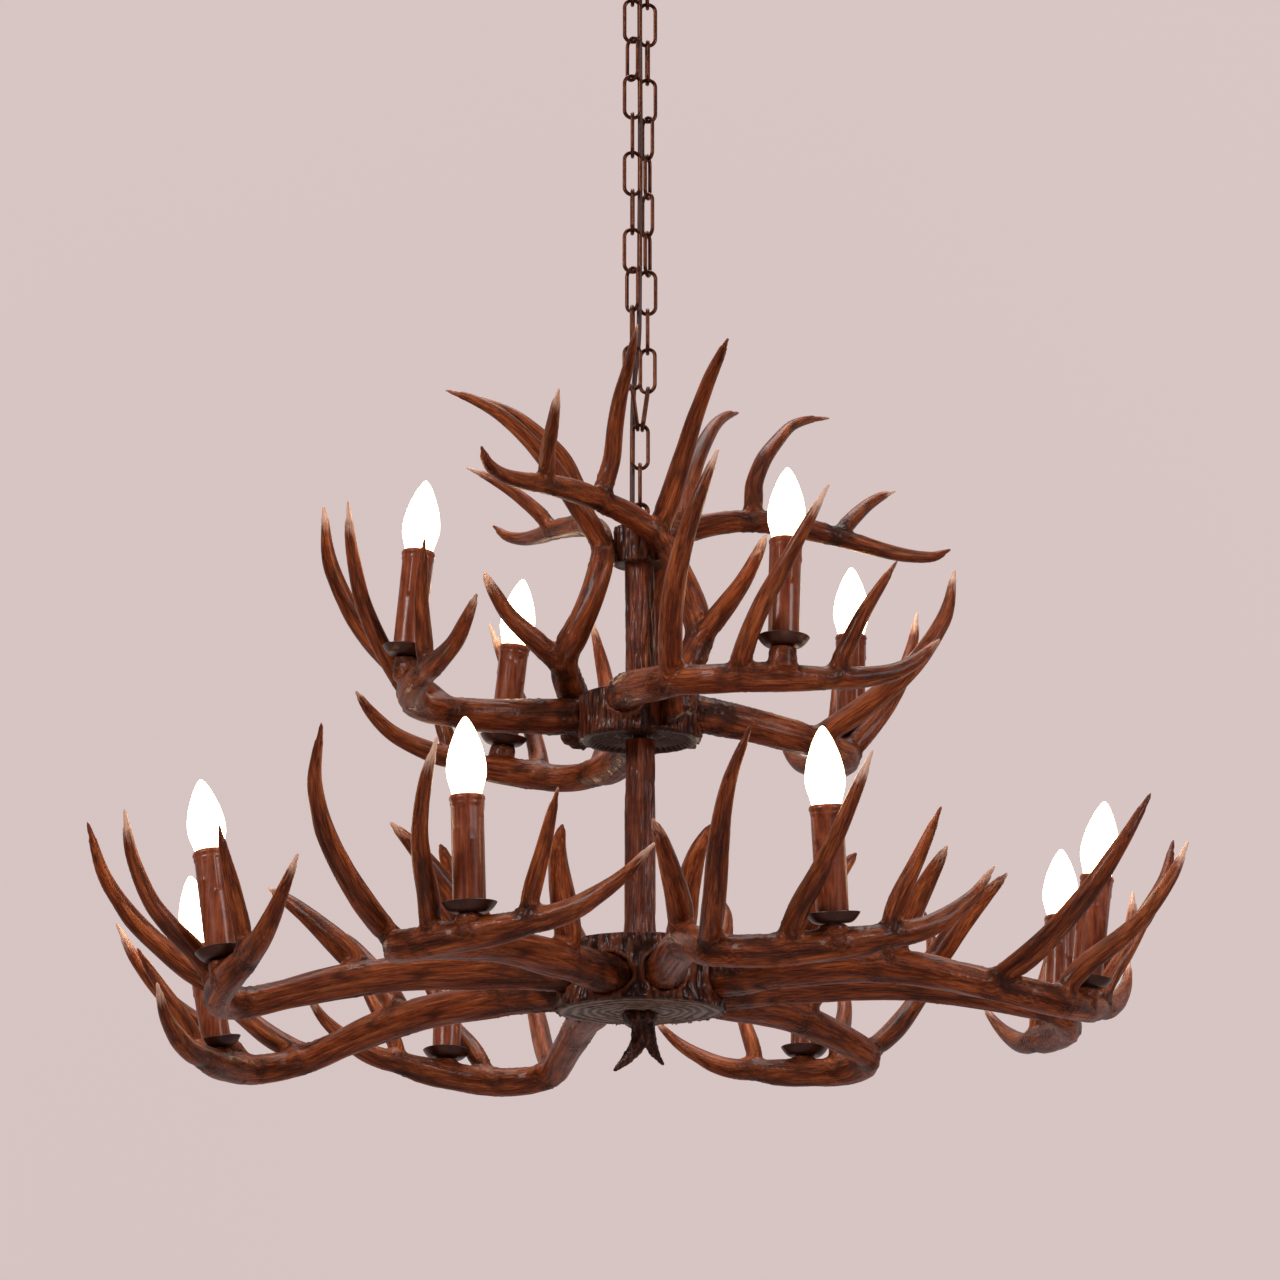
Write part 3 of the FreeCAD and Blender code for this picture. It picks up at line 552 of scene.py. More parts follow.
def limbLines(limbs):                         # each limb with its length, tangents and turning frame
    lines = []
    for limb in limbs:
        run = through(limb)
        centres = run[:, :3]
        heading = np.gradient(centres, axis=0)
        heading /= np.linalg.norm(heading, axis=1)[:, None]
        length = np.concatenate([[0], np.cumsum(np.linalg.norm(np.diff(centres, axis=0), axis=1))])
        if lines:
            beam = lines[0]
            near = int(np.argmin(np.linalg.norm(beam["centres"] - centres[0], axis=1)))
            length = length + beam["length"][near]
            side, last = beam["side"][near], beam["heading"][near]
        else:
            side = np.cross(heading[0], (0.3, 0.1, 1.0))
            side, last = side / np.linalg.norm(side), heading[0]
        sides = []
        for h in heading:
            turn = Vector(last).rotation_difference(Vector(h))
            side = np.array(turn @ Vector(side))
            sides.append(side)
            last = h
        sides = np.array(sides)
        lines.append({"centres": centres, "radius": run[:, 3], "length": length, "heading": heading,
                      "side": sides, "other": np.cross(heading, sides), "end": length[-1]})
    return lines


def straightened(points, lines, pale):        # for each point: its place along and across its limb
    gaps, coords, tips, radii = [], [], [], []
    for line, amount in zip(lines, pale):
        away = points[:, None, :] - line["centres"][None]
        distance = np.linalg.norm(away, axis=2)
        near = np.argmin(distance - 0.5 * line["radius"][None], axis=1)
        pick = np.arange(len(points))
        arm = away[pick, near]
        along = line["length"][near] + (arm * line["heading"][near]).sum(1)
        coords.append(np.stack([along, (arm * line["side"][near]).sum(1), (arm * line["other"][near]).sum(1)], 1))
        gaps.append(distance[pick, near] - line["radius"][near])
        tips.append(amount * ((along - line["end"] + sculpt["tipLength"]) / sculpt["tipLength"]).clip(0, 1))
        radii.append(line["radius"][near])
    share = np.exp(-np.array(gaps).clip(-6, 40) / 2.4)
    share /= share.sum(0)
    coord = (np.array(coords) * share[:, :, None]).sum(0)
    gap = (np.array(gaps) * share).sum(0)
    return coord, (np.array(tips) * share).sum(0), (np.array(radii) * share).sum(0), gap, share.max(0)


def stretch(run):
    return np.array((1 / run[0], 1 / run[1], 1 / run[1]))


def shapedAntler(node, casting, back, limbs, rootEnd):
    mesh = clay(node, sculpt["voxel"], back)
    points, normals = readPoints(mesh)
    points *= 1000
    edges, count = neighbours(mesh)
    lines = limbLines(limbs)
    starts = np.array([line["centres"][0] for line in lines[1:]] + [rootEnd])
    if casting["lamp"]:
        low = casting["lamp"][0]
        starts = np.vstack([starts, (low[0], low[1], low[2] - panDrop * 1000 - sculpt["padDrop"])])
    away = np.linalg.norm(points[:, None, :] - starts[None], axis=2)
    runs = sculpt["roughReach"]
    reach = np.array([runs["fork"]] * len(casting["tines"]) + [runs["root"]]
                     + [runs["pad"]] * bool(casting["lamp"]))
    rough = np.exp(-(away / reach) ** 2).max(1)
    lampKeep = np.ones(len(points))
    if casting["lamp"]:
        lampKeep = ((away[:, -1] - sculpt["padDrop"]) / 10).clip(0, 1)
    points = relax(points, normals, edges, count, 3)
    filled = relax(points, normals, edges, count, sculpt["webRounds"], True)
    points = points + (filled - points) * lampKeep[:, None]
    points = relax(points, normals, edges, count, 4)
    writePoints(mesh, points / 1000)
    normals = readPoints(mesh)[1]
    coord, tip, radius, gap, sure = straightened(points, lines, casting["paleTips"])
    least, spare = sculpt["alone"]
    alone = ((sure - least) / spare).clip(0, 1) * (coord[:, 0] > 4) * (radius > 4) * lampKeep
    most = sculpt["roundUp"]
    points = points - normals * (gap.clip(-most, most) * alone)[:, None]   # round where one limb stands alone
    points = relax(points, normals, edges, count, 3)
    slim = (radius / 15).clip(0.2, 1.1)
    flutes = np.abs(ripple(coord * stretch(sculpt["fluteRun"]))) * 2.2
    fine = ripple(coord * stretch(sculpt["fineRun"]), 7.0)
    swell = ripple(coord * stretch(sculpt["swellRun"]), 3.0)
    pearls = np.maximum(ripple(points / sculpt["pearlSize"], 5.0), 0) * 2
    patch = (ripple(points / sculpt["patchSize"], 9.0) * 1.8 + 0.75).clip(0, 1)
    lift = (sculpt["flutes"] * slim * (flutes.clip(0, 1) - 0.75) * (1 - tip) + 0.28 * slim * fine
            + sculpt["swell"] * slim * swell + sculpt["pearls"] * pearls * rough * patch * lampKeep)
    mesh.update()
    writePoints(mesh, points / 1000)
    points, normals = readPoints(mesh)
    points = points * 1000 + normals * lift[:, None]
    # painted shade for the finish: darkness where the flutes sink the skin
    grooveShade = (0.62 - flutes).clip(0, 1) * (1 - tip) * 1.1
    for _ in range(2):
        rough = spread(rough, edges, count)
    note(mesh, "grain", coord / 1000)
    note(mesh, "worn", np.stack([tip, (rough * (0.45 + 0.55 * patch)).clip(0, 1), grooveShade], 1))
    writePoints(mesh, points / 1000)
    return mesh


def antlers(prefix, casting):
    shared = None
    lampPlaces = {}
    for name, own in casting["places"].items():
        stand = standing(casting, *own[:3])
        node = "%s_antler_%s" % (prefix, name)
        beam = casting["beam"]
        if len(own) > 3:      # a crown root, bent to the upper hub's side
            back = stand.inverted()
            angle = math.radians(own[3])
            foot = []
            for height in (250.0, 284.0):
                spot = back @ Vector((math.cos(angle) * casting["rootReach"] / 1000,
                                      math.sin(angle) * casting["rootReach"] / 1000, at(height)))
                foot.append((spot.x * 1000, spot.y * 1000, (spot.z + panDrop) * 1000, 16))
            beam = tuple(foot) + beam
        if shared is None or len(own) > 3:
            rootEnd = (beam[0][0], beam[0][1], beam[0][2] - panDrop * 1000)
            shared = shapedAntler(node, casting, stand.inverted(), (beam,) + casting["tines"], rootEnd)
        mesh = shared.copy()
        mesh.transform(stand)
        place(prefix + "Antler_" + name, mesh, "chandelier", "antler", "antler_resin", [node])
        lampPlaces[name] = stand
    return lampPlaces


lowerStands = antlers("lower", lowerCasting)
upperStands = antlers("upper", upperCasting)
antlers("crown", crownCasting)
print("antlers shaped")


# ---- geometry patterns

class Pattern(Bench):        # a geometry tree with named inputs
    def __init__(self, name, inputs):
        super().__init__(bpy.data.node_groups.new(name, "GeometryNodeTree"))
        self.tree.interface.new_socket(name="Geometry", in_out="INPUT", socket_type="NodeSocketGeometry")
        for label, kind in inputs.items():
            self.tree.interface.new_socket(name=label, in_out="INPUT", socket_type="NodeSocket" + kind)
        self.tree.interface.new_socket(name="Geometry", in_out="OUTPUT", socket_type="NodeSocketGeometry")
        self.source = self.tree.nodes.new("NodeGroupInput")

    def given(self, label):
        return Socket(self, self.source.outputs[label])

    def onStands(self, piece):                # a copy on every point, turned as its stand says
        turn = self.node("GeometryNodeInputNamedAttribute", {"data_type": "FLOAT_VECTOR"}, {"Name": "stand"})
        return self.node("GeometryNodeInstanceOnPoints", {},
                         {"Points": self.given("Geometry"), "Instance": piece, "Rotation": turn})

    def ends(self, geometry, smooth=True):    # plain faces with their finish
        real = self.node("GeometryNodeRealizeInstances", {}, {0: geometry})
        if smooth:
            real = self.node("GeometryNodeSetShadeSmooth", {}, {0: real})
        real = self.node("GeometryNodeSetMaterial", {}, {"Geometry": real, "Material": self.given("Finish")})
        self.node("NodeGroupOutput", {}, {0: real})

    def run(self, name, base, values):
        helper = bpy.data.objects.new(name, base)
        scene.collection.objects.link(helper)
        modifier = helper.modifiers.new(name, "NODES")
        modifier.node_group = self.tree
        for item in self.tree.interface.items_tree:
            if item.in_out == "INPUT" and item.name in values:
                modifier[item.identifier] = values[item.name]
        return evaluated(helper)


def standsMesh(name, stands):                 # points that carry the turn of what stands on them
    mesh = bpy.data.meshes.new(name)
    mesh.from_pydata([tuple(s.translation) for s in stands], [], [])
    note(mesh, "stand", np.array([tuple(s.to_euler()) for s in stands]))
    return mesh


def linkPattern():
    own = Pattern("chainLinks", {"Length": "Float", "Width": "Float", "Wire": "Float", "Finish": "Material"})
    long = own.given("Length") - 2 * own.given("Wire")
    wide = own.given("Width") - 2 * own.given("Wire")
    outline = own.node("GeometryNodeCurvePrimitiveQuadrilateral", {"mode": "RECTANGLE"},
                       {"Width": wide, "Height": long})
    outline = own.node("GeometryNodeFilletCurve", {"mode": "POLY"},
                       {"Curve": outline, "Radius": wide * 0.4999, "Count": 9})
    lift = own.node("ShaderNodeCombineXYZ", {}, {2: long * 0.5})
    outline = own.node("GeometryNodeTransform", {}, {"Geometry": outline, "Translation": lift,
                                                     "Rotation": (math.pi / 2, 0, 0)})
    section = own.node("GeometryNodeCurvePrimitiveCircle", {"mode": "RADIUS"},
                       {"Resolution": 14, "Radius": own.given("Wire")})
    own.ends(own.onStands(own.node("GeometryNodeCurveToMesh", {}, {"Curve": outline, "Profile Curve": section})))
    return own


def standPattern():          # one piece stood on every point
    own = Pattern("lampPieces", {"Piece": "Object", "Finish": "Material"})
    piece = own.node("GeometryNodeObjectInfo", {}, {"Object": own.given("Piece")}, "Geometry")
    own.ends(own.onStands(piece), smooth=False)
    return own


def barkPattern():           # a column whose wall is pushed in between upright ribs
    own = Pattern("barkColumn", {"Radius": "Float", "Foot": "Float", "Length": "Float", "Depth": "Float",
                                 "Rib Spacing": "Float", "Seed": "Float", "Finish": "Material"})
    column = own.node("GeometryNodeMeshCylinder", {"fill_type": "NONE"},
                      {"Vertices": 150, "Side Segments": 110, "Radius": own.given("Radius"),
                       "Depth": own.given("Length")}, "Mesh")
    where = own.node("GeometryNodeInputPosition", {}, {})
    x, y, z = own.parts(where)
    flat = own.node("ShaderNodeCombineXYZ", {}, {0: x, 1: y, 2: z * 0.09 + own.given("Seed")})
    ribs = own.node("ShaderNodeTexNoise", {}, {"Vector": flat, "Scale": 1 / own.given("Rib Spacing"),
                                               "Detail": 3.0, "Roughness": 0.5, "Distortion": 0.15}, "Fac")
    furrow = own.node("ShaderNodeMath", {"operation": "ABSOLUTE"}, {0: ribs * 2 - 1})
    furrow = own.node("ShaderNodeMath", {"operation": "MINIMUM"}, {0: furrow * 4, 1: 1.0})
    low = own.node("ShaderNodeMath", {"operation": "MINIMUM"},
                   {0: (z + own.given("Length") * 0.5) / 0.026, 1: 1.0})
    widen = (1 - low) * (1 - low) * own.given("Foot")
    push = (furrow - 1) * own.given("Depth") + widen + 0.0004
    outward = own.node("ShaderNodeVectorMath", {"operation": "NORMALIZE"},
                       {0: own.node("ShaderNodeCombineXYZ", {}, {0: x, 1: y, 2: 0.0})})
    offset = own.node("ShaderNodeVectorMath", {"operation": "SCALE"}, {0: outward, "Scale": push})
    own.ends(own.node("GeometryNodeSetPosition", {}, {"Geometry": column, "Offset": offset}))
    return own


# ---- stems, hubs and finial

stems = {
    "lower": {"low": 41.0, "high": 240.5, "radius": 14.6, "foot": 3.6, "depth": 1.9, "ribs": 0.0085, "seed": 3.0},
    "upper": {"low": 285.0, "high": 415.0, "radius": 14.6, "foot": 0.0, "depth": 1.9, "ribs": 0.0085, "seed": 9.0},
}
bark = barkPattern()
for name, own in stems.items():
    mesh = bark.run(name + "StemBark", bpy.data.meshes.new("base"), {
        "Radius": own["radius"] / 1000, "Foot": own["foot"] / 1000, "Length": (own["high"] - own["low"]) / 1000,
        "Depth": own["depth"] / 1000, "Rib Spacing": own["ribs"], "Seed": own["seed"], "Finish": finish["bark"]})
    mesh.transform(Matrix.Translation((0, 0, (at(own["low"]) + at(own["high"])) / 2)))
    place(name + "Stem", mesh, "chandelier", "bark", "bark_resin", [name + "_stem"])

hubs = {
    "lower": {"node": "lower_hub", "voxel": 0.0017, "low": -24.0, "high": 41.5, "radius": 77.0, "flutes": 2.3,
              "spacing": 6.5, "rings": 8, "ringDepth": 1.7, "seed": 2.0, "recess": 0.0},
    "upper": {"node": "upper_hub", "voxel": 0.0015, "low": 238.5, "high": 285.0, "radius": 58.0, "flutes": 1.3,
              "spacing": 4.2, "rings": 0, "ringDepth": 0.0, "seed": 11.0, "recess": 5.0},
    "crown": {"node": "crown_hub", "voxel": 0.0013, "low": 415.0, "high": 452.0, "radius": 26.0, "flutes": 1.1,
              "spacing": 4.0, "rings": 0, "ringDepth": 0.0, "seed": 5.0, "recess": 0.0},
}


def rootAxes(casting, stands):                # the roots' lines in a hub, as points and directions in millimetres
    out = []
    for stand in stands.values():
        a, b = (stand @ Vector((p[0] / 1000, p[1] / 1000, at(p[2]))) for p in casting["beam"][:2])
        out.append((np.array(a) * 1000, np.array((b - a).normalized()), casting["beam"][0][3]))
    return out


def carvedHub(name, own, roots):
    mesh = clay(own["node"], own["voxel"])
    points, normals = readPoints(mesh)
    edges, count = neighbours(mesh)
    points = relax(points * 1000, normals, edges, count, 3)
    reach = np.hypot(points[:, 0], points[:, 1])
    outward = points[:, :2] / reach.clip(1)[:, None]
    low = at(own["low"]) * 1000
    height = points[:, 2] - low
    wall = ((reach - own["radius"] + 5) / 4).clip(0, 1) * (np.abs(normals[:, 2]) < 0.75)
    under = (normals[:, 2] < -0.6) * (height < 12)
    ring = np.stack([outward[:, 0] * own["radius"] / own["spacing"],
                     outward[:, 1] * own["radius"] / own["spacing"], height / 34 + own["seed"]], 1)
    furrow = (np.abs(ripple(ring)) * 3.2).clip(0, 1)
    drops = ripple(np.stack([ring[:, 0] * 0.6, ring[:, 1] * 0.6, height / 9], 1), 4.0)
    bump = ripple(points / 4.5, own["seed"])
    lift = wall * (own["flutes"] * (furrow - 0.55) + 0.8 * drops + 0.35 * bump)
    # painted shade by relief: dark in the furrows, light on the crests
    reliefShade = furrow * 0.75 + 0.25 * (drops + 0.5)
    ragged = np.exp(-(height / 7) ** 2) * wall * (1.4 + 2.4 * ripple(np.stack([ring[:, 0] * 0.8, ring[:, 1] * 0.8,
                                                                            height * 0 + 2], 1), 1.0))
    lift = lift + (ragged if own["recess"] or own["rings"] else 0)
    for start, line, radius in roots:         # a raised lip round every socket
        arm = points - start
        off = np.linalg.norm(arm - (arm @ line)[:, None] * line, axis=1)
        close = (arm @ line > -4) * np.exp(-((off - radius - 3.0) / 2.6) ** 2)
        lift = lift + 2.0 * close * wall
        # painted highlight: the raised socket lips lighter
        reliefShade = np.maximum(reliefShade, close)
    points = points + normals * (lift * (1 - under))[:, None]
    if own["rings"]:
        wobble = ripple(np.stack([outward[:, 0] * 2, outward[:, 1] * 2, reach / 22], 1)) * 5 + 0.6 * bump
        phase = (reach + wobble) / (own["radius"] / own["rings"])
        groove = (0.5 + 0.5 * np.cos(math.tau * phase)) ** 1.6
        points[:, 2] += under * (own["ringDepth"] * groove + 0.5 * bump)
        # painted shade: the underside ring grooves dark, their crests light
        reliefShade = np.where(under, 1 - groove + 0.2 * bump, reliefShade)
    if own["recess"]:
        angle = np.arctan2(outward[:, 1], outward[:, 0])
        flute = 0.5 + 0.5 * np.sin(angle * 46 + 2.5 * ripple(points / 20))
        dish = ((own["radius"] - 5 - reach) / 6).clip(0, 1)
        points[:, 2] += under * dish * (own["recess"] - 1.4 * flute)
        # painted shade: the underside flutes dark where they sink
        reliefShade = np.where(under, 0.15 + 0.4 * flute, reliefShade)
    note(mesh, "worn", np.stack([reliefShade.clip(0, 1), under.astype(float) * (1.0 if own["rings"] else 0.35),
                                 wall], 1))
    writePoints(mesh, points / 1000)
    place(name + "Hub", mesh, "chandelier", "hub", "hub_resin", [own["node"]])


carvedHub("lower", hubs["lower"], rootAxes(lowerCasting, lowerStands))
carvedHub("upper", hubs["upper"], rootAxes(upperCasting, upperStands))
carvedHub("crown", hubs["crown"], [])

finialShape = {"voxel": 0.0010, "pits": 0.9}
mesh = clay("finial", finialShape["voxel"])
points, normals = readPoints(mesh)
edges, count = neighbours(mesh)
points = relax(points * 1000, normals, edges, count, 3)
points = relax(points, normals, edges, count, 24, True)
pits = ripple(points / 3.0) + 0.6 * ripple(points / 1.6, 4.0)
upright = ripple(points * np.array((1 / 3.2, 1 / 3.2, 1 / 16)), 2.0)
points = points + normals * (finialShape["pits"] * (pits * 0.7 + upright))[:, None]
# painted shade by relief: darker in the sunk pits and furrows, lighter on the raised parts
note(mesh, "worn", np.stack([(0.45 + 0.5 * upright + 0.3 * pits).clip(0, 1), pits * 0 + 0.1, pits * 0], 1))
writePoints(mesh, points / 1000)
place("finial", mesh, "chandelier", "hub", "hub_resin", ["finial"])
print("stems, hubs and finial made")


# ---- lamps: measured from the underside of the drip pan along the candle, in millimetres

lampSizes = {"pan": (14.0, 24.0, 8.5, 1.3), "holderRing": 13.0, "holderLip": 14.3, "sleeve": 14.7,
             "sleeveBore": 13.2, "sleeveLow": 9.5, "sleeveTop": 103.0, "bulb": 17.5, "bulbTop": 172.0,
             "holderTop": 86.0}


def upTo(line):              # the turn from upright to a line
    return Vector((0, 0, 1)).rotation_difference(line).to_matrix().to_4x4()


def lampStands(casting, stands):
    low, high = (Vector((p[0] / 1000, p[1] / 1000, at(p[2]))) for p in casting["lamp"])
    line = (high - low).normalized()
    own = Matrix.Translation(low - line * 0.0045) @ upTo(line)
    return {name: stand @ own for name, stand in stands.items()}


def panMesh():
    foot, rim, high, wall = lampSizes["pan"]
    under = [(5.2, 0), (foot, 0)]
    inside = [(foot, wall), (5.2, wall)]
    bend = []
    for i in range(1, 11):
        t = i / 10
        bend.append((foot + (rim - foot) * t ** 0.86, high * t ** 1.7))
    lip = [(rim + 0.25, high + 0.35), (rim - 0.3, high + 0.75), (rim - 0.9, high + 0.4)]
    back = [(r - 0.75, z + wall * 0.9) for r, z in reversed(bend[:-1])]
    return turned("panShape", under + bend + lip + back + inside + [under[0]], 64, 50)


def holderMesh():
    low, lip, top = lampSizes["holderRing"], lampSizes["holderLip"], lampSizes["holderTop"]
    return turned("holderShape", [(5.2, 1.3), (low, 1.3), (low + 0.5, 2.4), (low, 3.6), (low, 6.6),
                                  (lip - 0.3, 7.1), (lip, 7.5), (lip, 9.2), (lip - 0.3, 9.5), (12.6, 9.5),
                                  (12.6, top), (7.4, top),
                                  (7.4, 61.2), (0.0, 61.2), (0.0, 10.0), (5.2, 10.0), (5.2, 1.3)], 56, 40)


def sleeveMesh(seed):        # wax collar at the rim, a wavy edge under it and long drips with a bead at the end
    around, rows = 112, 96
    low, top, radius = lampSizes["sleeveLow"], lampSizes["sleeveTop"], lampSizes["sleeve"]
    drips = [(0.55 + seed, 30, 2.3), (1.75 + seed, 14, 3.0), (2.6 + seed, 40, 2.0), (3.9 + seed, 19, 2.8),
             (4.7 + seed, 33, 2.1), (5.7 + seed, 11, 3.2)]
    angles = [math.tau * j / around for j in range(around)]
    outer = []
    for i in range(rows + 1):
        z = low + (top - low) * i / rows
        ring = []
        for a in angles:
            wavy = top - 10.5 - 2.2 * math.cos(3 * (a - seed)) - 1.2 * math.cos(5 * a + seed)
            coat = 1 / (1 + math.exp(-(z - wavy) / 0.5)) * 0.75
            for middle, reach, width in drips:
                away = math.remainder(a - middle, math.tau) * radius
                foot = wavy - reach
                if abs(away) < 3 * width and z < wavy + 4:
                    body = math.exp(-(away / width) ** 2) / (1 + math.exp(-(z - foot) / 0.7))
                    bead = math.exp(-(away / (width * 1.2)) ** 2 - ((z - foot - 1.6) / 2.3) ** 2)
                    coat = max(coat, 1.0 * body) + 0.55 * bead
            collar = 0.9 * math.exp(-((z - top + 3.4) / 1.7) ** 2) + 0.35 * math.exp(-((z - top + 8.2) / 0.9) ** 2)
            dent = 0.12 * noise.noise(Vector((math.cos(a) * 2.2, math.sin(a) * 2.2, z / 19 + seed * 7)))
            r = radius - 0.25 + coat * 0.8 + collar + dent - 1.0 * max(0, (z - top + 1.0)) ** 2
            ring.append((r * math.cos(a) / 1000, r * math.sin(a) / 1000, z / 1000))
        outer.append(ring)
    bore = lampSizes["sleeveBore"]
    inner = [[(bore * math.cos(a) / 1000, bore * math.sin(a) / 1000, z / 1000) for a in angles]
             for z in (top, low)]
    return tidy("sleeveShape", *grid(outer + inner + [outer[0]]), 60)


def bulbMesh():
    rim, top, wide = lampSizes["sleeveTop"], lampSizes["bulbTop"], lampSizes["bulb"]
    knots = [(7.0, 62.0), (7.0, 86.5), (9.0, 87.5), (11.7, rim - 5), (14.0, rim + 5), (wide, rim + 20),
             (wide - 2.2, rim + 38), (wide - 8.5, rim + 56), (3.2, top - 2.6), (0.0, top)]
    glass = [(0.0, 61.6), (6.0, 61.6)] + knots[:2]
    curve = np.array([(5.0, 86.9)] + knots[2:] + [(-3.2, top - 2.6)], float)
    for i in range(1, len(curve) - 2):
        for t in np.linspace(0, 1, 7, endpoint=False):
            p = between(*curve[i - 1:i + 3], t)
            glass.append((max(p[0], 0.0), p[1]))
    glass.append((0.0, top))
    return turned("bulbShape", glass, 48, 50)


def standIn(name, mesh):     # a helper that the pattern copies
    helper = bpy.data.objects.new(name, mesh)
    scene.collection.objects.link(helper)
    return helper


lampPattern = standPattern()
nippleProfile = [(3.2, -16), (5, -16), (5, 11.5), (3.2, 11.5), (3.2, -16)]
pieces = {
    "drip_pans": ("DripPans", panMesh(), "pan", "brown_metal"),
    "lampholders": ("Lampholders", holderMesh(), "chrome", "lampholder"),
    "lamp_nipples": ("LampNipples", turned("nippleShape", nippleProfile, 24), "steel", "plain_steel"),
}
bulbShape = bulbMesh()
for prefix, casting, stands in (("lower", lowerCasting, lowerStands), ("upper", upperCasting, upperStands)):
    lamps = lampStands(casting, stands)
    for node, (label, mesh, look, slot) in pieces.items():
        helper = standIn(label + "Helper", mesh.copy())
        made = lampPattern.run(prefix + label, standsMesh("lampPoints", list(lamps.values())),
                              {"Piece": helper, "Finish": finish[look]})
        bpy.data.objects.remove(helper)
        place(prefix + label, made, "chandelier", look, slot, ["%s_%s" % (prefix, node)])
    sleeves = []
    for number, stand in enumerate(lamps.values()):
        mesh = sleeveMesh(0.9 * number + (0.4 if prefix == "upper" else 0.0))
        mesh.transform(stand)
        sleeves.append(mesh)
    place(prefix + "CandleSleeves", joined("sleeves", sleeves), "chandelier", "sleeve", "sleeve",
          [prefix + "_candle_sleeves"])
    for name, stand in lamps.items():
        mesh = bulbShape.copy()
        mesh.transform(stand)
        place("%sBulb_%s" % (prefix, name), mesh, "%s_lamp_%s" % (prefix, name), "glow", "bulb",
              ["%s_bulb_%s" % (prefix, name)])
print("lamps made")


# ---- chain, cord and canopy

chain = {"length": 48.2, "width": 19.6, "wire": 1.9, "slack": 0.3, "links": 12, "x": 7.5, "y": 5.5, "topX": 6.0,
         "pairX": 2.2, "leftTurns": (90, 0, 85, 133, 183, 93, 3, 90, 185, 130, 185, 92),
         "rightTurns": (90, 155, 90, 0, 73, 128, 73, 128, 183, 95, 3, 90)}
eyeBolt = {"radius": 7.5, "wire": 2.25, "top": 452.0, "nut": 4.0, "neck": 6.2}
wireStep = chain["length"] - 4 * chain["wire"] - chain["slack"]
linkSpan = chain["length"] - 2 * chain["wire"]
eyeCentre = at(eyeBolt["top"]) * 1000 + eyeBolt["nut"] + eyeBolt["neck"] + eyeBolt["radius"]
swingHeight = eyeCentre + eyeBolt["radius"] - eyeBolt["wire"] - chain["wire"] - chain["slack"]
linkBend = chain["width"] / 2 - chain["wire"]
pairHeight = swingHeight + 2 * wireStep - (linkBend - math.sqrt(linkBend ** 2 - chain["pairX"] ** 2)) - 0.2


def strandPoints(side):
    start = Vector((side * chain["pairX"], 0, pairHeight))
    slant = math.sqrt(linkSpan ** 2 - (chain["x"] - chain["pairX"]) ** 2 - chain["y"] ** 2)
    first = start.z + slant - 2 * chain["wire"] - chain["slack"]
    points = [start] + [Vector((side * chain["x"], side * chain["y"], first + i * wireStep))
                        for i in range(chain["links"] - 1)]
    topSlant = math.sqrt(linkSpan ** 2 - chain["y"] ** 2 - (chain["x"] - chain["topX"]) ** 2)
    points.append(Vector((side * chain["topX"], 0, points[-1].z + topSlant)))
    return points


def linkStand(low, high, turn):
    line = (high - low).normalized()
    return Matrix.Translation(low / 1000) @ upTo(line) @ Matrix.Rotation(math.radians(turn), 4, "Z")


links = linkPattern()
linkValues = {"Length": chain["length"] / 1000, "Width": chain["width"] / 1000, "Wire": chain["wire"] / 1000,
              "Finish": finish["brown"]}
for side, turns, name in ((-1, chain["leftTurns"], "left"), (1, chain["rightTurns"], "right")):
    points = strandPoints(side)
    stands = [linkStand(points[i], points[i + 1], turn) for i, turn in enumerate(turns)]
    mesh = links.run("chain" + name.title(), standsMesh("linkPoints", stands), linkValues)
    place("chain" + name.title(), mesh, "chain", "brown", "brown_metal", ["chain_" + name])
low = Vector((0, 0, swingHeight))
middle = low + Vector((0, 0, wireStep))
stands = [linkStand(low, middle, 90), linkStand(middle, middle + Vector((0, 0, 1)), 0)]
place("joiningLinks", links.run("joiningLinks", standsMesh("linkPoints", stands), linkValues), "chain", "brown",
      "brown_metal", ["joining_links"])

route = [(0.0, 21.0, -22.0), (0.0, 21.0, -58.0), (-0.3, 0.0, -101.0), (-0.2, 0.0, -158.0), (0.3, 0.2, -228.0),
         (0.2, 0.0, -298.0), (-0.4, -0.1, -368.0), (-0.6, 0.0, 684 - 1108.0), (-1.0, 0.2, 641 - 1108.0),
         (-6.6, 9.4, 599 - 1108.0), (-7.6, 11.2, 545 - 1108.0), (-7.6, 11.2, 444 - 1108.0)]
cordSizes = {"radius": 0.0025, "length": 0.647}
line = bpy.data.curves.new("supplyCord", "CURVE")
line.dimensions = "3D"
line.bevel_depth = cordSizes["radius"]
line.bevel_resolution = 5
line.resolution_u = 16
line.use_fill_caps = True
spline = line.splines.new("NURBS")
spline.points.add(len(route) - 1)
for point, corner in zip(spline.points, route):
    point.co = (corner[0] / 1000, corner[1] / 1000, corner[2] / 1000, 1)
spline.order_u = 3
spline.use_endpoint_u = True
spline.use_smooth = True
cordPiece = bpy.data.objects.new("supplyCord", line)
scene.collection.objects.link(cordPiece)
line.materials.append(finish["cord"])
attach(cordPiece, frame["nodes"]["supply_cord"]["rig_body"])
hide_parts("supply_cord")

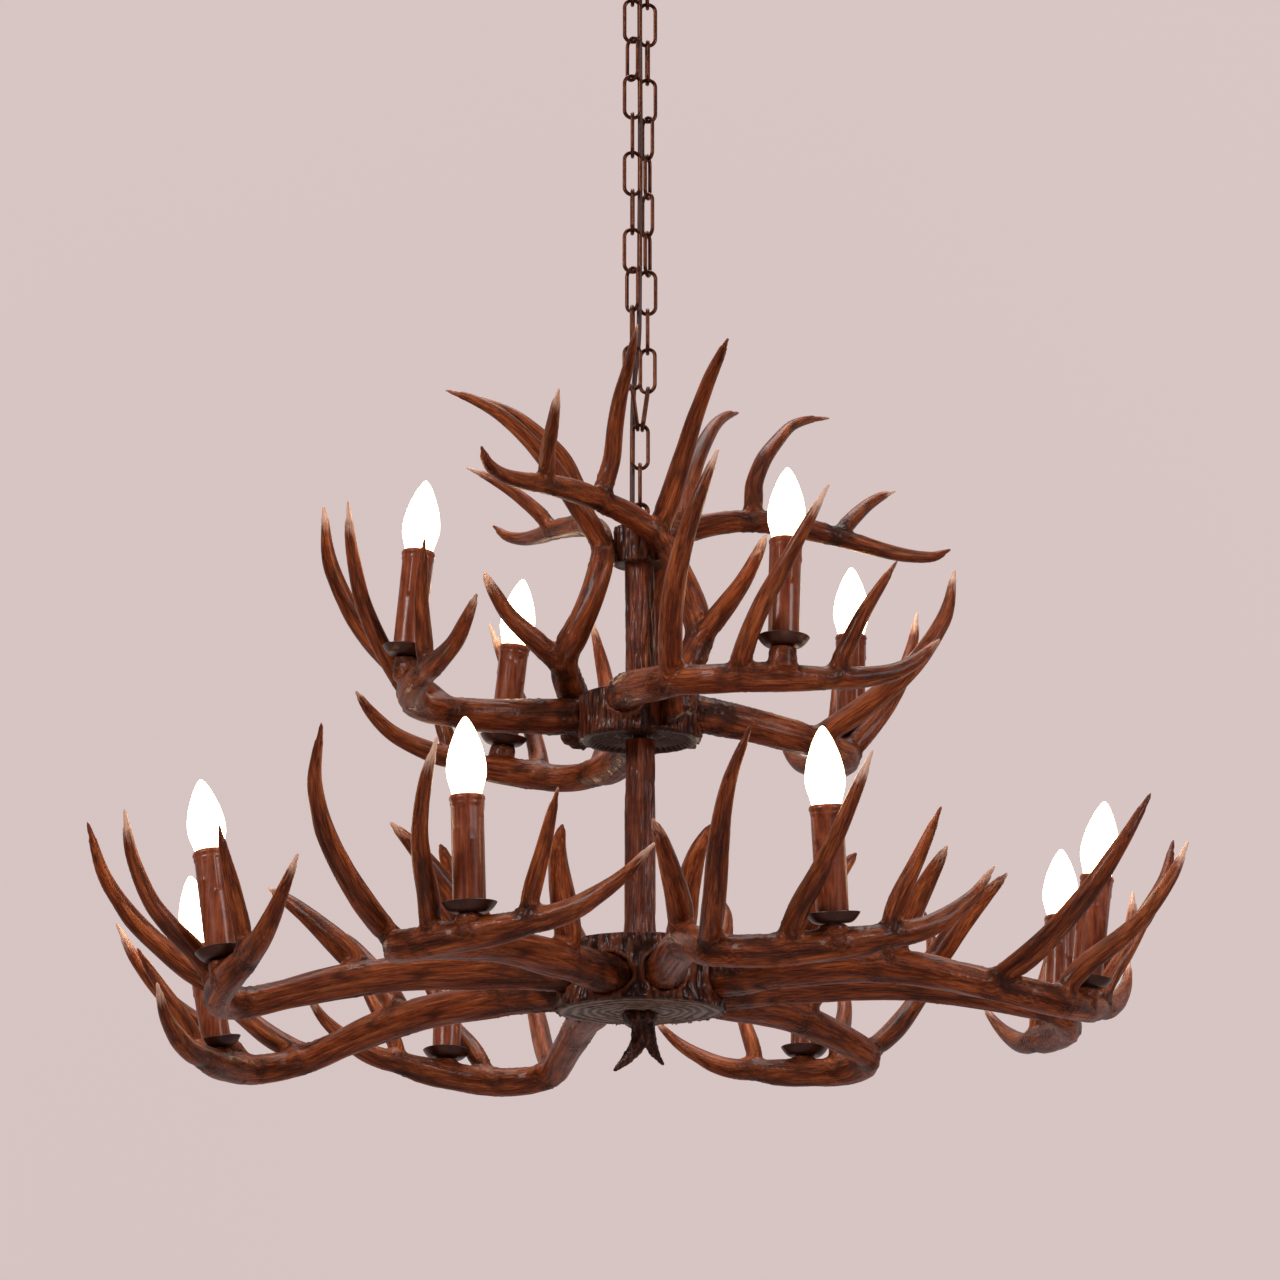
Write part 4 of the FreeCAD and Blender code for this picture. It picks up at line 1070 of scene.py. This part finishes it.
loopCentre, loopBase = -60.12, -33.0
place("chainLoop", joined("chainLoop", [
    ringOfWire("loopRing", 0.015, 0.0025, (0, 0, loopCentre / 1000)),
    turned("loopBase", [(0, loopCentre + 14.2), (6.2, loopCentre + 14.2), (7.5, loopCentre + 15.8),
                        (7.5, loopBase - 0.8), (6.8, loopBase), (5.2, loopBase), (5.2, loopBase - 3),
                        (0, loopBase - 3)], 40)]),
    "ceiling_mount", "brown", "brown_metal", ["chain_loop"])
collarProfile = [(5.2, -33), (8.2, -33), (9, -32.2), (9, -26.8), (8.2, -26), (5.2, -26), (5.2, -33)]
place("collarNut", turned("collarNut", collarProfile, 48, 30), "ceiling_mount", "brown", "brown_metal",
      ["collar_nut"])
eyeLow = at(eyeBolt["top"]) * 1000
place("eyeBolt", joined("eyeBolt", [
    ringOfWire("eyeRing", eyeBolt["radius"] / 1000, eyeBolt["wire"] / 1000, (0, 0, eyeCentre / 1000), 48, 16),
    turned("eyeShank", [(0, eyeLow - 12.5), (3, eyeLow - 12.5), (3, eyeCentre - eyeBolt["radius"]),
                        (0, eyeCentre - eyeBolt["radius"])], 24),
    turned("eyeNut", [(3, eyeLow), (5.6, eyeLow), (6, eyeLow + 0.5), (6, eyeLow + 3.5), (5.6, eyeLow + 4),
                      (3, eyeLow + 4)], 6, 20)]), "eye", "brown", "brown_metal", ["eye_bolt"])
print("chain, cord and ceiling pieces made")


# ---- CAD nodes that keep their own shape

carried = {"ceiling_bracket": "steel", "ceiling_nipple": "steel", "canopy": "brown", "lower_antler_studs": "steel",
           "upper_antler_studs": "steel", "crown_antler_studs": "steel", "stem_pipe": "steel"}
for node, look in carried.items():
    mesh = frame["nodes"][node].data
    mesh.materials.clear()
    mesh.materials.append(finish[look])


# ---- room and light

room = {"floor": -3.4, "high": 4.0, "back": 3.2, "wide": 9.0, "paint": tone(212, 194, 192)}


def backdropFinish():        # pale paint that the camera sees at its own colour
    own = Finish("roomPaint")
    seen = own.tree.nodes.new("ShaderNodeLightPath")
    direct = Socket(own, seen.outputs["Is Camera Ray"]) + Socket(own, seen.outputs["Is Glossy Ray"]) \
        + Socket(own, seen.outputs["Is Transmission Ray"])
    paint = own.mix(own.cloud(own.here(), 0.35, 2), room["paint"], tone(217, 200, 197))
    matt = own.node("ShaderNodeBsdfDiffuse", {}, {"Color": paint})
    flat = own.node("ShaderNodeEmission", {}, {"Color": paint, "Strength": 1.0})
    share = own.node("ShaderNodeMath", {"operation": "MINIMUM"}, {0: direct, 1: 1.0})
    both = own.node("ShaderNodeMixShader", {}, {0: share, 1: matt, 2: flat})
    own.node("ShaderNodeOutputMaterial", {}, {"Surface": both})
    return own.material


def floorFinish():
    own = Finish("floorPaint")
    grey = own.cloud(own.here(), 1.2, 3)
    return own.surface({"Base Color": own.mix(grey, tone(214, 197, 194), tone(222, 206, 202)), "Roughness": 0.8})


def sheet(name, look, corners):
    thing = bpy.data.objects.new(name, tidy(name, corners, [(0, 1, 2, 3)]))
    scene.collection.objects.link(thing)
    thing.data.materials.append(look)


foot, head, wide, back = (room[k] for k in ("floor", "high", "wide", "back"))
sheet("floor", floorFinish(), [(-wide, -wide, foot), (wide, -wide, foot), (wide, wide, foot), (-wide, wide, foot)])
sheet("backdrop", backdropFinish(),
      [(-wide, back, foot), (wide, back, foot), (wide, back, head), (-wide, back, head)])

world = bpy.data.worlds.new("studio")
scene.world = world
world.use_nodes = True
sky = Bench(world.node_tree)
sky.tree.nodes.clear()
path = sky.tree.nodes.new("ShaderNodeLightPath")
soft = sky.node("ShaderNodeBackground", {}, {"Color": (0.84, 0.80, 0.80, 1), "Strength": 0.2})
plain = sky.node("ShaderNodeBackground", {}, {"Color": room["paint"], "Strength": 1.0})
mixed = sky.node("ShaderNodeMixShader", {}, {0: Socket(sky, path.outputs["Is Camera Ray"]), 1: soft, 2: plain})
sky.node("ShaderNodeOutputWorld", {}, {"Surface": mixed})

lights = {
    "key": {"from": (-2.6, -2.8, 0.9), "size": 1.2, "watts": 100, "tone": (1.0, 0.96, 0.97)},
    "fill": {"from": (2.8, -2.4, 0.2), "size": 1.3, "watts": 62, "tone": (0.97, 0.96, 1.0)},
    "top": {"from": (0.0, 0.4, 1.6), "size": 1.6, "watts": 62, "tone": (1.0, 0.97, 0.95)},
    "low": {"from": (0.3, -3.0, -2.9), "size": 2.2, "watts": 12, "tone": (1.0, 0.93, 0.9)},
}
aim = Vector((0, 0, -0.8))
for name, own in lights.items():
    data = bpy.data.lights.new(name, "AREA")
    data.shape = "SQUARE"
    data.size = own["size"]
    data.energy = own["watts"]
    data.color = own["tone"]
    lamp = bpy.data.objects.new(name, data)
    scene.collection.objects.link(lamp)
    lamp.location = own["from"]
    lamp.rotation_euler = (aim - Vector(own["from"])).to_track_quat("-Z", "Y").to_euler()
print("room lit")
